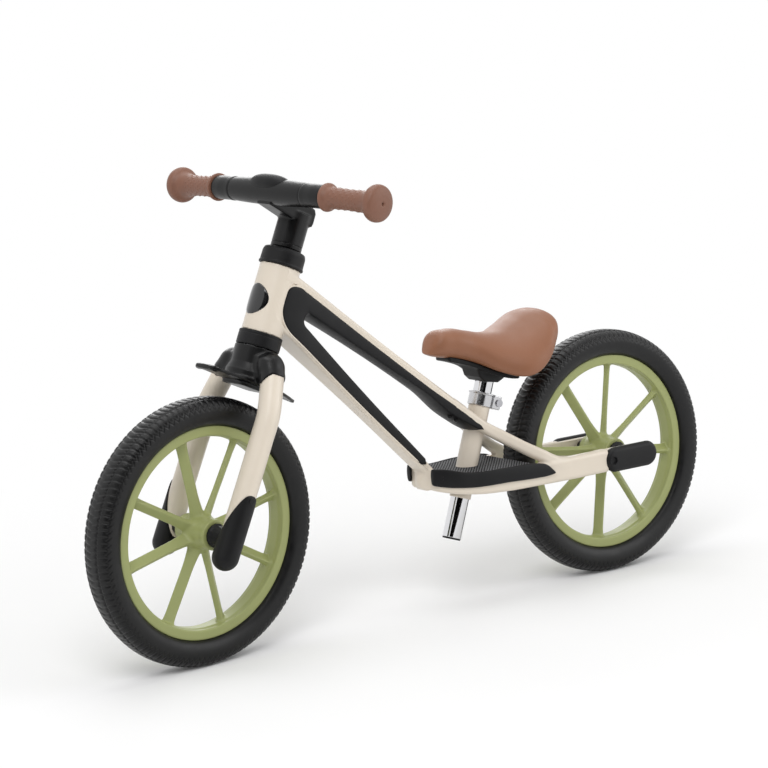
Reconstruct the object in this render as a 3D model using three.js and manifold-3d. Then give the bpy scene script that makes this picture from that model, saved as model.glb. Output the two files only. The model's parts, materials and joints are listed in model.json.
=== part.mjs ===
// Balance bike for small children, built from its separate pieces.
// Millimetres. +Z is up, the bike rolls towards -X and its rider's left is -Y.
// The origin is on the ground, midway between the two wheel axles.
import * as THREE from "three";
import { mergeVertices } from "three/addons/utils/BufferGeometryUtils.js";
import Module from "manifold-3d";

const wasm = await Module();
wasm.setup();

// ---------------------------------------------------------------- Driving sizes
const TOUCH = 0.3; // gap kept between pieces that touch
const RUNNING_GAP = 0.6; // gap between pieces that turn against each other

// Wheels
const WHEELBASE = 577.4;
const TYRE_RADIUS = 147;
const TYRE_WIDTH = 39.5;
const RIM_RADIUS = 117;
const RIM_WIDTH = 24;
const RIM_DEPTH = 9.5; // flange to the rim's inner edge
const RIM_CROWN = 3.5; // how far the rim's inner face bulges towards the hub
const RIM_CHANNEL = 5; // depth of the channel that the tyre's foot sits in
const SPOKE_PAIRS = 4;
const SPOKE_SPLAY = 20.6; // each spoke's angle from the middle of its pair
const SPOKE_WIDTH = 11.6;
const SPOKE_ROOT_WIDTH = 18;
const SPOKE_THICKNESS = 5;
const SPOKE_TILT = 45; // turn of a spoke's flat about its own length
const HUB_RADIUS = 16.5;
const HUB_WIDTH = 49;
const BEARING_RADIUS = 11;
const BEARING_WIDTH = 7;
const AXLE_RADIUS = 4;
const SPACER_RADIUS = 13.3;
const NUT_WIDTH = 13; // across the flats
const NUT_LENGTH = 4.5;
const NUT_CORNER_REACH = 0.62; // radius that clears a nut's corners, as a share of its flats
const FRONT_WHEEL_ANGLE = 81.9; // first spoke pair above the ground line, at rest
const REAR_WHEEL_ANGLE = 103;

// Steering and fork
const RAKE = 23.8; // steering axis leaning back from upright
const STEER_TURN = 6.7; // how far the fork stands turned to the left at rest
const FORK_OFFSET = 5.4; // wheel axle ahead of the steering axis
const LEG_RADIUS = 12.8;
const LEG_SPREAD = 51.2; // middle of a leg to the middle of the fork
const LEG_FLAT = 11.2; // middle of a leg to the flats that the axle clamps
const LEG_TAIL = 20; // leg below the axle
const LEG_COVER_WALL = 1.4;
const LEG_COVER_RISE = 56; // top of a leg cover above the axle
const CROWN_CLEARANCE = 15.5; // tyre to the underside of the crown
const CROWN_BLOCK_HEIGHT = 5;
const VISOR_THICKNESS = 4;
const VISOR_FRONT = 66;
const VISOR_REAR = 71;
const VISOR_HALF_WIDTH = 25;
const CROWN_SHOULDER_HEIGHT = 8;
const SHOULDER_WALL = 2.3; // crown's wall around the legs' tops
const COLLAR_HEIGHT = 27.5;
const COLLAR_RADIUS = 24.5;
const COLLAR_FLARE = 3;
const STEERER_RADIUS = 12.5;
const STEERER_WALL = 2.5;

// Head
const HEAD_RADIUS = 22.5;
const HEAD_LENGTH = 76;
const HEAD_WALL = 5.5;
const CUP_RADIUS = 24.3;
const CUP_HEIGHT = 16;
const TOP_CAP_HEIGHT = 19.5;
const HEADSET_BEARING_RADIUS = 19.5;
const HEADSET_BEARING_HEIGHT = 8;
const BADGE_HEIGHT = 35;
const BADGE_WIDTH = 35;
const BADGE_RISE = 34; // badge's middle above the head tube's foot
const BADGE_THICKNESS = 1;

// Stem and handlebar
const STEM_RADIUS = 17.3;
const STEM_HEIGHT = 33.5;
const STEM_BLOCK_HEIGHT = 19;
const STEM_BLOCK_HALF_WIDTH = 14;
const BAR_FORWARD = 42; // bar ahead of the steering axis
const BAR_RISE = 18.7; // bar above the top of the stem's round part
const BAR_RADIUS = 12.6;
const BAR_CORE_RADIUS = 9;
const BAR_BODY_HALF = 58; // middle of the bar to the end of its thick body
const BAR_SWEEP = 4.6;
const GRIP_START = 89;
const GRIP_LENGTH = 82;
const GRIP_RADIUS = 11.4;
const GRIP_FLANGE_RADIUS = 15.5;
const GRIP_KNOB_RADIUS = 20.3;
const PAD_LENGTH = 54;
const PAD_AHEAD = 6; // pad's middle ahead of the bar's
const PAD_HEIGHT = 5;

// Seat tube, post and saddle
const SEAT_SETBACK = 214.2; // seat axis ahead of the rear axle, at axle height
const SEAT_LEAN = 19.16; // seat axis leaning back from upright
const SEAT_TUBE_RADIUS = 12.5;
const SEAT_TUBE_BELOW = 23.4; // seat tube below axle height, along its axis
const SEAT_TUBE_LENGTH = 125;
const SEAT_SLOT_DEPTH = 22;
const SEAT_SLOT_WIDTH = 3;
const POST_RADIUS = 11;
const POST_WALL = 1.6;
const POST_BELOW = 75.6; // post below axle height, along its axis
const POST_LENGTH = 204;
const PLUG_HEIGHT = 3;
const CLAMP_WALL = 1.6;
const CLAMP_HEIGHT = 16;
const CLAMP_EAR_REACH = 24;
const CLAMP_EAR_THICKNESS = 5.5;
const CLAMP_BOLT_RADIUS = 2.5;
const CLAMP_NUT_WIDTH = 8;
const CLAMP_NUT_LENGTH = 3.4;
const SADDLE_LENGTH = 172.6;
const SADDLE_NOSE_AHEAD = 89; // saddle nose ahead of the post's top
const SADDLE_RISE = 35; // nose top above the post's top
const SADDLE_HALF_WIDTH = 62;
const SADDLE_PAN_THICKNESS = 3;

// Frame
const BEAM_HEAD_DROP = 17.5; // beam's line below the head tube's top, along the axis
const BEAM_HEAD_HALF = 14.4;
const BEAM_SEAT_HALF = 6.6;
const BEAM_ARCH = 2.2;
const BEAM_SEAT_JOIN = 61.3; // where the beam's line meets the seat axis, above axle height
const STAY_SPLIT = 49; // beam's end ahead of the seat axis, along its line
const STAY_WIDTH = 13;
const STAY_HEIGHT = 13.4;
const STAY_FOOT_AHEAD = 112; // stay's foot ahead of the rear axle
const DOWN_HEAD_RISE = 26; // down tube's line above the head tube's foot, along the axis
const DOWN_HEAD_HALF = 12;
const DOWN_FOOT_HALF = 5.6;
const NOSE_AHEAD = 269.3; // front joint ahead of the rear axle
const NOSE_HEIGHT_ABOVE = 16.4; // front joint above axle height
const NOSE_LENGTH = 6;
const NOSE_INSET = 8.5; // back of the front joint ahead of the down tube's foot
const FRAME_HEAD_HALF_WIDTH = HEAD_RADIUS + 0.6;
const FRAME_WAIST_HALF_WIDTH = 13.5;
const LINER_SHOULDER = 8.2; // painted strip above the liner on the beam
const LINER_SILL = 3; // painted strip below the liner on the down tube
const LINER_WALL = 2;
const LINER_FRONT = 1.5; // liner's front edge behind the steering axis
const LINER_BROW_DROP = 3.4; // how far the liner's upper edge dips at its front corner
const LINER_FLARE = 4.2; // how far the liner swells below the beam ahead of the seat tube
const LINER_TIP = 5; // beam's length behind the liner's tip, at the seat tube
const LINER_CORNER = 15;
const LINER_CHIN = 38; // where the front edge starts to curve back, above the head tube's foot
const APEX_ALONG = 0.12; // the window's front corner, as a share of the beam's length
const ARM_SPREAD = 45; // middle of an arm to the middle of the bike
const ARM_WIDTH = 14;
const ARM_HEIGHT = 27;
const ARM_TAIL = 24; // arm behind the rear axle
const DROPOUT_WIDTH = 6.4;
const AXLE_COVER_LENGTH = 80.5;
const AXLE_COVER_HEIGHT = 30;
const AXLE_COVER_DEPTH = 12.5;
const DECK_THICKNESS = 4;
const DECK_TYRE_GAP = 7.8; // behind the deck, to the rear tyre
const DECK_DROP = 0.8; // deck's top below the side covers' edges
const SIDE_COVER_WALL = 2.6;
const SIDE_COVER_LENGTH = 158;
const SCREW_RADIUS = 3.2;

// ---------------------------------------------------------------- Shape helpers
const radians = THREE.MathUtils.degToRad;
const point = (x, y, z) => new THREE.Vector3(x, y, z);

// A closed body: shared corners merged, collapsed triangles dropped, faces pointing out.
function closedBody(geometry) {
  const plain = geometry.clone();
  plain.deleteAttribute("normal");
  plain.deleteAttribute("uv");
  plain.clearGroups();
  const merged = mergeVertices(plain, 1e-4);
  const corners = merged.index.array;
  const kept = [];
  for (let i = 0; i < corners.length; i += 3) {
    const [a, b, c] = [corners[i], corners[i + 1], corners[i + 2]];
    if (a !== b && b !== c && c !== a) {
      kept.push(a, b, c);
    }
  }
  if (signedVolume(merged.attributes.position, kept) < 0) {
    kept.reverse();
  }
  const body = new THREE.BufferGeometry();
  body.setAttribute("position", merged.attributes.position);
  body.setIndex(kept);
  return body;
}

function signedVolume(positions, corners) {
  const [a, b, c] = [point(), point(), point()];
  let volume = 0;
  for (let i = 0; i < corners.length; i += 3) {
    a.fromBufferAttribute(positions, corners[i]);
    b.fromBufferAttribute(positions, corners[i + 1]);
    c.fromBufferAttribute(positions, corners[i + 2]);
    volume += a.dot(b.cross(c)) / 6;
  }
  return volume;
}

function toSolid(geometry) {
  const body = closedBody(geometry);
  return new wasm.Manifold(new wasm.Mesh({
    numProp: 3,
    vertProperties: new Float32Array(body.attributes.position.array),
    triVerts: new Uint32Array(body.index.array),
  }));
}

function toGeometry(solid) {
  const mesh = solid.getMesh();
  const geometry = new THREE.BufferGeometry();
  geometry.setAttribute("position", new THREE.BufferAttribute(mesh.vertProperties, 3));
  geometry.setIndex(Array.from(mesh.triVerts));
  return geometry;
}

const join = (first, ...others) => toGeometry(
  others.reduce((whole, other) => whole.add(toSolid(other)), toSolid(first)),
);
const cut = (body, ...tools) => toGeometry(
  tools.reduce((rest, tool) => rest.subtract(toSolid(tool)), toSolid(body)),
);
const keep = (body, tool) => toGeometry(toSolid(body).intersect(toSolid(tool)));

const moved = (geometry, x, y, z) => geometry.clone().translate(x, y, z);
const placed = (geometry, matrix) => geometry.clone().applyMatrix4(matrix);
const mirrored = (geometry) => closedBody(geometry.clone().scale(1, -1, 1));
const alongY = (geometry) => geometry.clone().rotateX(-Math.PI / 2);
const onSide = (geometry, side) => (side < 0 ? geometry : mirrored(geometry));

// A body turned about Z from [radius, height] corners.
function turned(profile, segments = 24) {
  const corners = [...profile, profile[0]].map(([r, z]) => new THREE.Vector2(r, z));
  return closedBody(new THREE.LatheGeometry(corners, segments).rotateX(Math.PI / 2));
}

const rod = (radius, from, to, segments = 16) => turned(
  [[0, from], [radius, from], [radius, to], [0, to]],
  segments,
);
const ring = (inner, outer, from, to, segments = 24) => turned(
  [[inner, from], [outer, from], [outer, to], [inner, to]],
  segments,
);
const block = (x, y, z) => closedBody(new THREE.BoxGeometry(
  x[1] - x[0],
  y[1] - y[0],
  z[1] - z[0],
).translate((x[0] + x[1]) / 2, (y[0] + y[1]) / 2, (z[0] + z[1]) / 2));

// A side-view outline (x, z) made solid between two y values.
function sidePlate(shape, from, to, curveSegments = 6) {
  const plate = new THREE.ExtrudeGeometry(shape, { depth: to - from, bevelEnabled: false, curveSegments });
  return closedBody(plate.rotateX(Math.PI / 2).translate(0, to, 0));
}

// A plan outline (x, y) made solid between two heights.
function planPlate(shape, from, to, curveSegments = 5) {
  const plate = new THREE.ExtrudeGeometry(shape, { depth: to - from, bevelEnabled: false, curveSegments });
  return closedBody(plate.translate(0, 0, from));
}

// A rectangle's outline with round corners, as points about its middle.
function roundedSection(halfWidth, halfHeight, corner, steps = 2) {
  const radius = Math.min(corner, halfWidth - 0.01, halfHeight - 0.01);
  const centres = [[1, 1], [-1, 1], [-1, -1], [1, -1]];
  return centres.flatMap(([sx, sy], quarter) => Array.from({ length: steps + 1 }, (unused, step) => {
    const angle = (quarter + step / steps) * (Math.PI / 2);
    return new THREE.Vector2(
      sx * (halfWidth - radius) + radius * Math.cos(angle),
      sy * (halfHeight - radius) + radius * Math.sin(angle),
    );
  }));
}

// The body between rings of matching points, closed by a fan at each end.
function skin(rings) {
  const count = rings[0].length;
  const corners = rings.flat();
  const index = [];
  for (let r = 0; r + 1 < rings.length; r += 1) {
    for (let p = 0; p < count; p += 1) {
      const next = (p + 1) % count;
      const [a, b] = [r * count + p, r * count + next];
      index.push(a, b, b + count, a, b + count, a + count);
    }
  }
  for (const [start, flip] of [[0, true], [(rings.length - 1) * count, false]]) {
    const middle = corners.length;
    corners.push(rings[start / count].reduce((sum, p) => sum.add(p), point()).divideScalar(count));
    for (let p = 0; p < count; p += 1) {
      const [a, b] = [start + p, start + ((p + 1) % count)];
      index.push(...(flip ? [b, a, middle] : [a, b, middle]));
    }
  }
  const geometry = new THREE.BufferGeometry();
  geometry.setAttribute("position", new THREE.Float32BufferAttribute(corners.flatMap((p) => p.toArray()), 3));
  geometry.setIndex(index);
  return closedBody(geometry);
}

// Stations are objects of numbers with the same keys: this blends them smoothly.
function blendStations(stations, steps) {
  const keys = Object.keys(stations[0]);
  const values = stations.flatMap((station) => keys.map((key) => station[key]));
  const blend = new THREE.CubicInterpolant(stations.map((station, index) => index), values, keys.length);
  return Array.from({ length: steps + 1 }, (unused, step) => {
    const row = blend.evaluate((step / steps) * (stations.length - 1));
    return Object.fromEntries(keys.map((key, index) => [key, row[index]]));
  });
}

// A tube through stations {x, y, z, width, height, corner}; width and height are halves.
function loftTube(stations, steps, cornerSteps = 2, level = point(0, 1, 0)) {
  const places = blendStations(stations, steps);
  const rings = places.map((place, index) => {
    const before = places[Math.max(index - 1, 0)];
    const after = places[Math.min(index + 1, steps)];
    const along = point(after.x - before.x, after.y - before.y, after.z - before.z).normalize();
    const across = level.clone().addScaledVector(along, -along.dot(level)).normalize();
    const up = point().crossVectors(along, across);
    return roundedSection(place.width, place.height, place.corner, cornerSteps).map(
      (corner) => point(place.x, place.y, place.z)
        .addScaledVector(across, corner.x)
        .addScaledVector(up, corner.y),
    );
  });
  return skin(rings);
}

function addMesh(group, name, geometry, material) {
  const mesh = new THREE.Mesh(closedBody(geometry), material);
  mesh.name = name;
  group.add(mesh);
  return mesh;
}

// ---------------------------------------------------------------- Materials
const finish = (color, roughness, metalness) => () => new THREE.MeshStandardMaterial({
  color, roughness, metalness, flatShading: true,
});
const creamPaint = finish(0xded4c6, 0.35, 0.1);
const greenMoulding = finish(0xa5ab70, 0.5, 0);
const blackRubber = finish(0x1c1c1e, 0.75, 0);
const blackPlastic = finish(0x1f1f22, 0.45, 0);
const brownVinyl = finish(0xa57258, 0.6, 0);
const chromePlate = finish(0xd8d8dc, 0.12, 1);
const zincSteel = finish(0xb9b9bb, 0.4, 1);
const castAlloy = finish(0xc4c4c4, 0.45, 0.9);

// ---------------------------------------------------------------- Frames of reference
const sides = [["left", -1], ["right", 1]];
const rake = radians(RAKE);
const seatLean = radians(SEAT_LEAN);
const axleHeight = TYRE_RADIUS;
const rearAxleX = WHEELBASE / 2;

// Steering frame: +Z runs up the steering axis, +X points backwards, zero is beside the front axle.
const straightOffset = FORK_OFFSET * Math.cos(radians(STEER_TURN));
const steeringMatrix = new THREE.Matrix4()
  .makeTranslation(
    -WHEELBASE / 2 + straightOffset * Math.cos(rake),
    0,
    axleHeight - straightOffset * Math.sin(rake),
  )
  .multiply(new THREE.Matrix4().makeRotationY(rake));
const onSteeringAxis = (height, back = 0) => point(back, 0, height).applyMatrix4(steeringMatrix);

// Seat frame: +Z runs up the seat tube's axis, zero is at axle height.
const seatMatrix = new THREE.Matrix4()
  .makeTranslation(rearAxleX - SEAT_SETBACK, 0, axleHeight)
  .multiply(new THREE.Matrix4().makeRotationY(seatLean));
const onSeatAxis = (height, back = 0) => point(back, 0, height).applyMatrix4(seatMatrix);

// Heights along the steering axis, from the axle up.
const crownBase = TYRE_RADIUS + CROWN_CLEARANCE;
const visorBase = crownBase + CROWN_BLOCK_HEIGHT;
const collarBase = visorBase + VISOR_THICKNESS + CROWN_SHOULDER_HEIGHT;
const collarTop = collarBase + COLLAR_HEIGHT;
const cupBase = collarTop + RUNNING_GAP;
const headBase = cupBase + CUP_HEIGHT + TOUCH;
const headTop = headBase + HEAD_LENGTH;
const capBase = headTop + TOUCH;
const capTop = capBase + TOP_CAP_HEIGHT;
const stemBase = capTop + RUNNING_GAP;
const stemTop = stemBase + STEM_HEIGHT;
const barHeight = stemTop + BAR_RISE;

// ---------------------------------------------------------------- Wheels
const hubEnd = HUB_WIDTH / 2;
const axleBore = AXLE_RADIUS + TOUCH;

function tyreBody() {
  const half = TYRE_WIDTH / 2;
  const foot = RIM_WIDTH / 2 - 4 - TOUCH;
  const seat = RIM_RADIUS + TOUCH;
  const bulge = RIM_RADIUS + (TYRE_RADIUS - RIM_RADIUS) * 0.53;
  const flank = [];
  const steps = 4;
  for (let step = 0; step <= steps; step += 1) {
    const angle = radians(-40 + (130 * step) / steps);
    flank.push([
      bulge + (TYRE_RADIUS - bulge) * Math.sin(angle),
      half * Math.cos(angle),
    ]);
  }
  const left = [
    [seat - RIM_CHANNEL, 0],
    [seat - RIM_CHANNEL, foot],
    [seat, foot + 1],
    [seat, RIM_WIDTH / 2],
    ...flank,
  ];
  const right = left.slice(1, -1).reverse().map(([r, y]) => [r, -y]);
  return alongY(turned([...left, ...right], 32));
}

function rimBody() {
  const half = RIM_WIDTH / 2;
  const channel = half - 4;
  const inner = RIM_RADIUS - RIM_DEPTH;
  const crown = inner - RIM_CROWN;
  return alongY(turned([
    [RIM_RADIUS, -half],
    [RIM_RADIUS, -channel - 1],
    [RIM_RADIUS - RIM_CHANNEL, -channel],
    [RIM_RADIUS - RIM_CHANNEL, channel],
    [RIM_RADIUS, channel + 1],
    [RIM_RADIUS, half],
    [inner, half],
    [crown, half * 0.3],
    [crown, -half * 0.3],
    [inner, -half],
  ], 32));
}

function hubBody() {
  const chamfer = 2.5;
  return alongY(turned([
    [0, -hubEnd],
    [HUB_RADIUS - chamfer, -hubEnd],
    [HUB_RADIUS, -hubEnd + chamfer],
    [HUB_RADIUS, hubEnd - chamfer],
    [HUB_RADIUS - chamfer, hubEnd],
    [0, hubEnd],
  ], 18));
}

function hubBore() {
  const seat = hubEnd - BEARING_WIDTH - TOUCH;
  const wide = BEARING_RADIUS + TOUCH;
  const narrow = AXLE_RADIUS + 3;
  const past = hubEnd + 1;
  return alongY(turned([
    [0, -past], [wide, -past], [wide, -seat], [narrow, -seat],
    [narrow, seat], [wide, seat], [wide, past], [0, past],
  ], 14));
}

// One flat bar from inside the hub to inside the rim, its flat tilted about its length.
function spokeBody(angle, tilt) {
  const outward = point(Math.cos(angle), 0, Math.sin(angle));
  const sideways = point(-Math.sin(angle), 0, Math.cos(angle));
  const flat = sideways.multiplyScalar(Math.cos(tilt)).add(point(0, Math.sin(tilt), 0));
  const thin = point().crossVectors(outward, flat);
  const end = RIM_RADIUS - RIM_DEPTH + 1;
  const bar = [
    { reach: AXLE_RADIUS + 5, wide: SPOKE_ROOT_WIDTH / 2 },
    { reach: HUB_RADIUS * 2.6, wide: SPOKE_WIDTH / 2 },
    { reach: end - HUB_RADIUS, wide: SPOKE_WIDTH / 2 },
    { reach: end, wide: SPOKE_WIDTH * 0.62 },
  ];
  return skin(bar.map(({ reach, wide }) => roundedSection(wide, SPOKE_THICKNESS / 2, 1.6, 1).map(
    (corner) => outward.clone().multiplyScalar(reach)
      .addScaledVector(flat, corner.x)
      .addScaledVector(thin, corner.y),
  )));
}

function wheelMoulding() {
  const spokes = [];
  for (let pair = 0; pair < SPOKE_PAIRS; pair += 1) {
    const middle = (pair * 2 * Math.PI) / SPOKE_PAIRS;
    const lean = (pair % 2 === 0 ? 1 : -1) * radians(SPOKE_TILT);
    spokes.push(spokeBody(middle + radians(SPOKE_SPLAY), lean));
    spokes.push(spokeBody(middle - radians(SPOKE_SPLAY), -lean));
  }
  return cut(join(rimBody(), hubBody(), ...spokes), hubBore());
}

const mouldedWheel = wheelMoulding();

// A whole wheel about its own axle, first spoke pair on its +X.
function addWheel(parent, end, turn) {
  const wheel = new THREE.Group();
  wheel.rotation.y = -radians(turn);
  parent.add(wheel);
  addMesh(wheel, `${end}_tyre`, tyreBody(), blackRubber());
  addMesh(wheel, `${end}_wheel`, mouldedWheel, greenMoulding());
  const bearing = alongY(ring(axleBore, BEARING_RADIUS, -hubEnd, -hubEnd + BEARING_WIDTH, 14));
  for (const [name, side] of sides) {
    addMesh(wheel, `${end}_bearing_${name}`, onSide(bearing, side), zincSteel());
  }
  return wheel;
}

// A domed washer between the hub and the leg or arm at `seat`, for the left side.
function spacerBody(seat) {
  const start = hubEnd + RUNNING_GAP;
  const end = seat - TOUCH;
  const flange = start + 3;
  return alongY(turned([
    [axleBore, -start],
    [AXLE_RADIUS + 3, -start],
    [SPACER_RADIUS, -start - 1],
    [SPACER_RADIUS, -flange],
    [SPACER_RADIUS * 0.86, -flange - 2.4],
    [SPACER_RADIUS * 0.62, -end],
    [axleBore, -end],
  ], 14));
}

const axleBody = (halfLength) => alongY(rod(AXLE_RADIUS, -halfLength, halfLength, 12));

// A hexagonal nut about the Y axis.
function hexagonNut(acrossFlats, bore, from, to) {
  const outer = acrossFlats / 2 / Math.cos(Math.PI / 6);
  const hexagon = new THREE.Shape(Array.from({ length: 6 }, (unused, corner) => new THREE.Vector2(
    outer * Math.cos((corner * Math.PI) / 3),
    outer * Math.sin((corner * Math.PI) / 3),
  )));
  hexagon.holes.push(new THREE.Path().absarc(0, 0, bore, 0, 2 * Math.PI));
  return sidePlate(hexagon, from, to, 7);
}

// The nut on the left of an axle's seat.
const nutBody = (seat) => hexagonNut(NUT_WIDTH, axleBore, -seat - TOUCH - NUT_LENGTH, -seat - TOUCH);

// ---------------------------------------------------------------- Fork
const legX = (height) => -FORK_OFFSET + height * 0.024;
const legBend = crownBase - 24; // the leg leans inwards above this height
const legTop = collarBase + 5;
const legTopY = LEG_SPREAD - 15.5;

function roundStation(x, y, z, radius) {
  return { x, y, z, width: radius, height: radius, corner: radius };
}

// The left leg, grown by a clearance when it cuts its own socket.
function legTube(grow = 0) {
  const radius = LEG_RADIUS + grow;
  const halfWay = (legBend + legTop) / 2;
  const heights = [-LEG_TAIL - grow, legBend * 0.3, legBend * 0.8, legBend, halfWay, legTop + grow];
  const lean = [0, 0, 0, 0.04, 0.45, 1];
  return loftTube(heights.map((height, index) => roundStation(
    legX(height),
    -THREE.MathUtils.lerp(LEG_SPREAD, legTopY, lean[index]),
    height,
    radius,
  )), 6, 3);
}

const atFrontAxle = (geometry) => moved(geometry, -FORK_OFFSET, 0, 0);
const nutSeat = LEG_SPREAD + LEG_FLAT / 2;
const legFace = LEG_SPREAD - LEG_FLAT;

function legBody() {
  const hole = atFrontAxle(alongY(rod(axleBore, -LEG_SPREAD * 1.5, -HUB_WIDTH / 2)));
  const innerFlat = atFrontAxle(alongY(rod(SPACER_RADIUS + 1, -legFace, -HUB_WIDTH / 2)));
  const nutFlat = atFrontAxle(alongY(rod(NUT_WIDTH * 0.75, -LEG_SPREAD * 1.5, -nutSeat)));
  return cut(legTube(), hole, innerFlat, nutFlat);
}

// An outline (y, z) made solid between two x values.
function frontPlate(shape, from, to, curveSegments = 10) {
  const plate = new THREE.ExtrudeGeometry(shape, { depth: to - from, bevelEnabled: false, curveSegments });
  const facing = new THREE.Matrix4().makeBasis(point(0, 1, 0), point(0, 0, 1), point(1, 0, 0));
  return closedBody(plate.applyMatrix4(facing).translate(from, 0, 0));
}

const outline = (corners) => new THREE.Shape(corners.map(([x, y]) => new THREE.Vector2(x, y)));
const coverRadius = LEG_RADIUS + TOUCH + LEG_COVER_WALL;
const coverScrewHeight = LEG_COVER_RISE - 12;

// The boot over the leg's foot: round below, open inwards, its top edge slanting up and out.
function legCoverBody() {
  const roundFoot = [0.08, 0.35, 0.68, 1].map((share) => {
    const angle = share * (Math.PI / 2);
    return [-LEG_TAIL - coverRadius * Math.cos(angle), coverRadius * Math.sin(angle)];
  });
  const tops = [[LEG_COVER_RISE - 5, coverRadius], [LEG_COVER_RISE, coverRadius - 2]];
  const boot = skinnedRound([...roundFoot, ...tops]);
  const slant = frontPlate(outline([
    [-LEG_SPREAD - 20, LEG_COVER_RISE + 12],
    [-LEG_SPREAD + 18, -LEG_TAIL - 6],
    [-LEG_SPREAD + 30, -LEG_TAIL - 6],
    [-LEG_SPREAD + 30, LEG_COVER_RISE + 40],
    [-LEG_SPREAD - 20, LEG_COVER_RISE + 40],
  ]), -60, 60);
  const pocketDepth = nutSeat + NUT_LENGTH + 2 * TOUCH;
  const nutPocket = atFrontAxle(alongY(rod(NUT_WIDTH * NUT_CORNER_REACH, -pocketDepth, -LEG_SPREAD)));
  const screwHole = moved(
    alongY(rod(SCREW_RADIUS + TOUCH, -LEG_SPREAD * 1.5, -LEG_SPREAD, 16)),
    legX(coverScrewHeight),
    0,
    coverScrewHeight,
  );
  return cut(boot, legTube(TOUCH), slant, nutPocket, screwHole);
}

// Round sections [height, radius] stacked along the left leg.
function skinnedRound(levels) {
  const stations = levels.map(([height, radius]) => roundStation(legX(height), -LEG_SPREAD, height, radius));
  return loftTube(stations, stations.length - 1, 3);
}

function legScrewBody() {
  const screw = alongY(rod(SCREW_RADIUS, -LEG_SPREAD - coverRadius - 0.5, -LEG_SPREAD - LEG_RADIUS - TOUCH, 12));
  return moved(screw, legX(coverScrewHeight), 0, coverScrewHeight);
}

function visorShape() {
  const shape = new THREE.Shape();
  const lip = 15;
  shape.moveTo(-VISOR_FRONT + lip * 0.3, -lip);
  shape.quadraticCurveTo(-VISOR_FRONT - lip * 0.3, 0, -VISOR_FRONT + lip * 0.3, lip);
  shape.quadraticCurveTo(-VISOR_FRONT * 0.35, VISOR_HALF_WIDTH, 0, VISOR_HALF_WIDTH);
  shape.quadraticCurveTo(VISOR_REAR * 0.55, VISOR_HALF_WIDTH, VISOR_REAR, 2.5);
  shape.lineTo(VISOR_REAR, -2.5);
  shape.quadraticCurveTo(VISOR_REAR * 0.55, -VISOR_HALF_WIDTH, 0, -VISOR_HALF_WIDTH);
  shape.quadraticCurveTo(-VISOR_FRONT * 0.35, -VISOR_HALF_WIDTH, -VISOR_FRONT + lip * 0.3, -lip);
  return shape;
}

// The moulded crown: collar, shoulders over the leg tops, and the visor over the tyre.
function crownBody() {
  const collar = turned([
    [0, visorBase],
    [COLLAR_RADIUS + COLLAR_FLARE, visorBase],
    [COLLAR_RADIUS + COLLAR_FLARE, collarBase],
    [COLLAR_RADIUS, collarBase + 9],
    [COLLAR_RADIUS, collarTop],
    [0, collarTop],
  ], 24);
  const shoulderRadius = LEG_RADIUS + SHOULDER_WALL;
  const shoulderFoot = visorBase + 1;
  const lean = (legTopY - LEG_SPREAD) / (legTop - legBend);
  const shoulderY = (height) => -(legTopY + lean * (height - legTop));
  const shoulder = loftTube([
    roundStation(legX(shoulderFoot), shoulderY(shoulderFoot), shoulderFoot, shoulderRadius - 0.8),
    roundStation(legX(shoulderFoot), shoulderY(shoulderFoot + 2), shoulderFoot + 2, shoulderRadius),
    roundStation(legX(legTop), shoulderY(legTop), legTop, shoulderRadius),
    roundStation(legX(legTop), shoulderY(legTop + 7), legTop + 7, shoulderRadius * 0.8),
    roundStation(legX(legTop), shoulderY(legTop + 11), legTop + 11, shoulderRadius * 0.4),
  ], 4, 3);
  const bridge = frontPlate(outline([
    [-legTopY - 6, collarBase - 4],
    [legTopY + 6, collarBase - 4],
    [legTopY + 3, legTop + 5],
    [COLLAR_RADIUS - 2, collarBase + 18],
    [-COLLAR_RADIUS + 2, collarBase + 18],
    [-legTopY - 3, legTop + 5],
  ]), legX(legTop) - shoulderRadius * 0.75, legX(legTop) + shoulderRadius * 0.75);
  const visor = planPlate(visorShape(), visorBase, visorBase + VISOR_THICKNESS);
  const lip = loftTube([-1, 0, 1].map((place) => ({
    x: -VISOR_FRONT + 5 + 3.5 * place * place,
    y: place * 15,
    z: visorBase + VISOR_THICKNESS / 2,
    width: 3.6,
    height: 3.6,
    corner: 3.6,
  })), 4, 2, point(0, 0, 1));
  const keel = block([-22, 20], [-18, 18], [crownBase, visorBase + 1]);
  const steererBore = rod(STEERER_RADIUS + TOUCH, crownBase + 2, collarTop + 1, 20);
  return cut(
    join(collar, shoulder, mirrored(shoulder), bridge, visor, lip, keel),
    legTube(TOUCH),
    mirrored(legTube(TOUCH)),
    steererBore,
  );
}

const steererBody = () => ring(
  STEERER_RADIUS - STEERER_WALL,
  STEERER_RADIUS,
  crownBase + 2 + TOUCH,
  stemTop - 2 - TOUCH,
);

// ---------------------------------------------------------------- Head
function lowerCupBody() {
  const seat = cupBase + HEADSET_BEARING_HEIGHT;
  return turned([
    [HEADSET_BEARING_RADIUS + TOUCH, cupBase],
    [CUP_RADIUS, cupBase],
    [CUP_RADIUS, cupBase + CUP_HEIGHT],
    [STEERER_RADIUS + 2, cupBase + CUP_HEIGHT],
    [STEERER_RADIUS + 2, seat],
    [HEADSET_BEARING_RADIUS + TOUCH, seat],
  ]);
}

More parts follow.
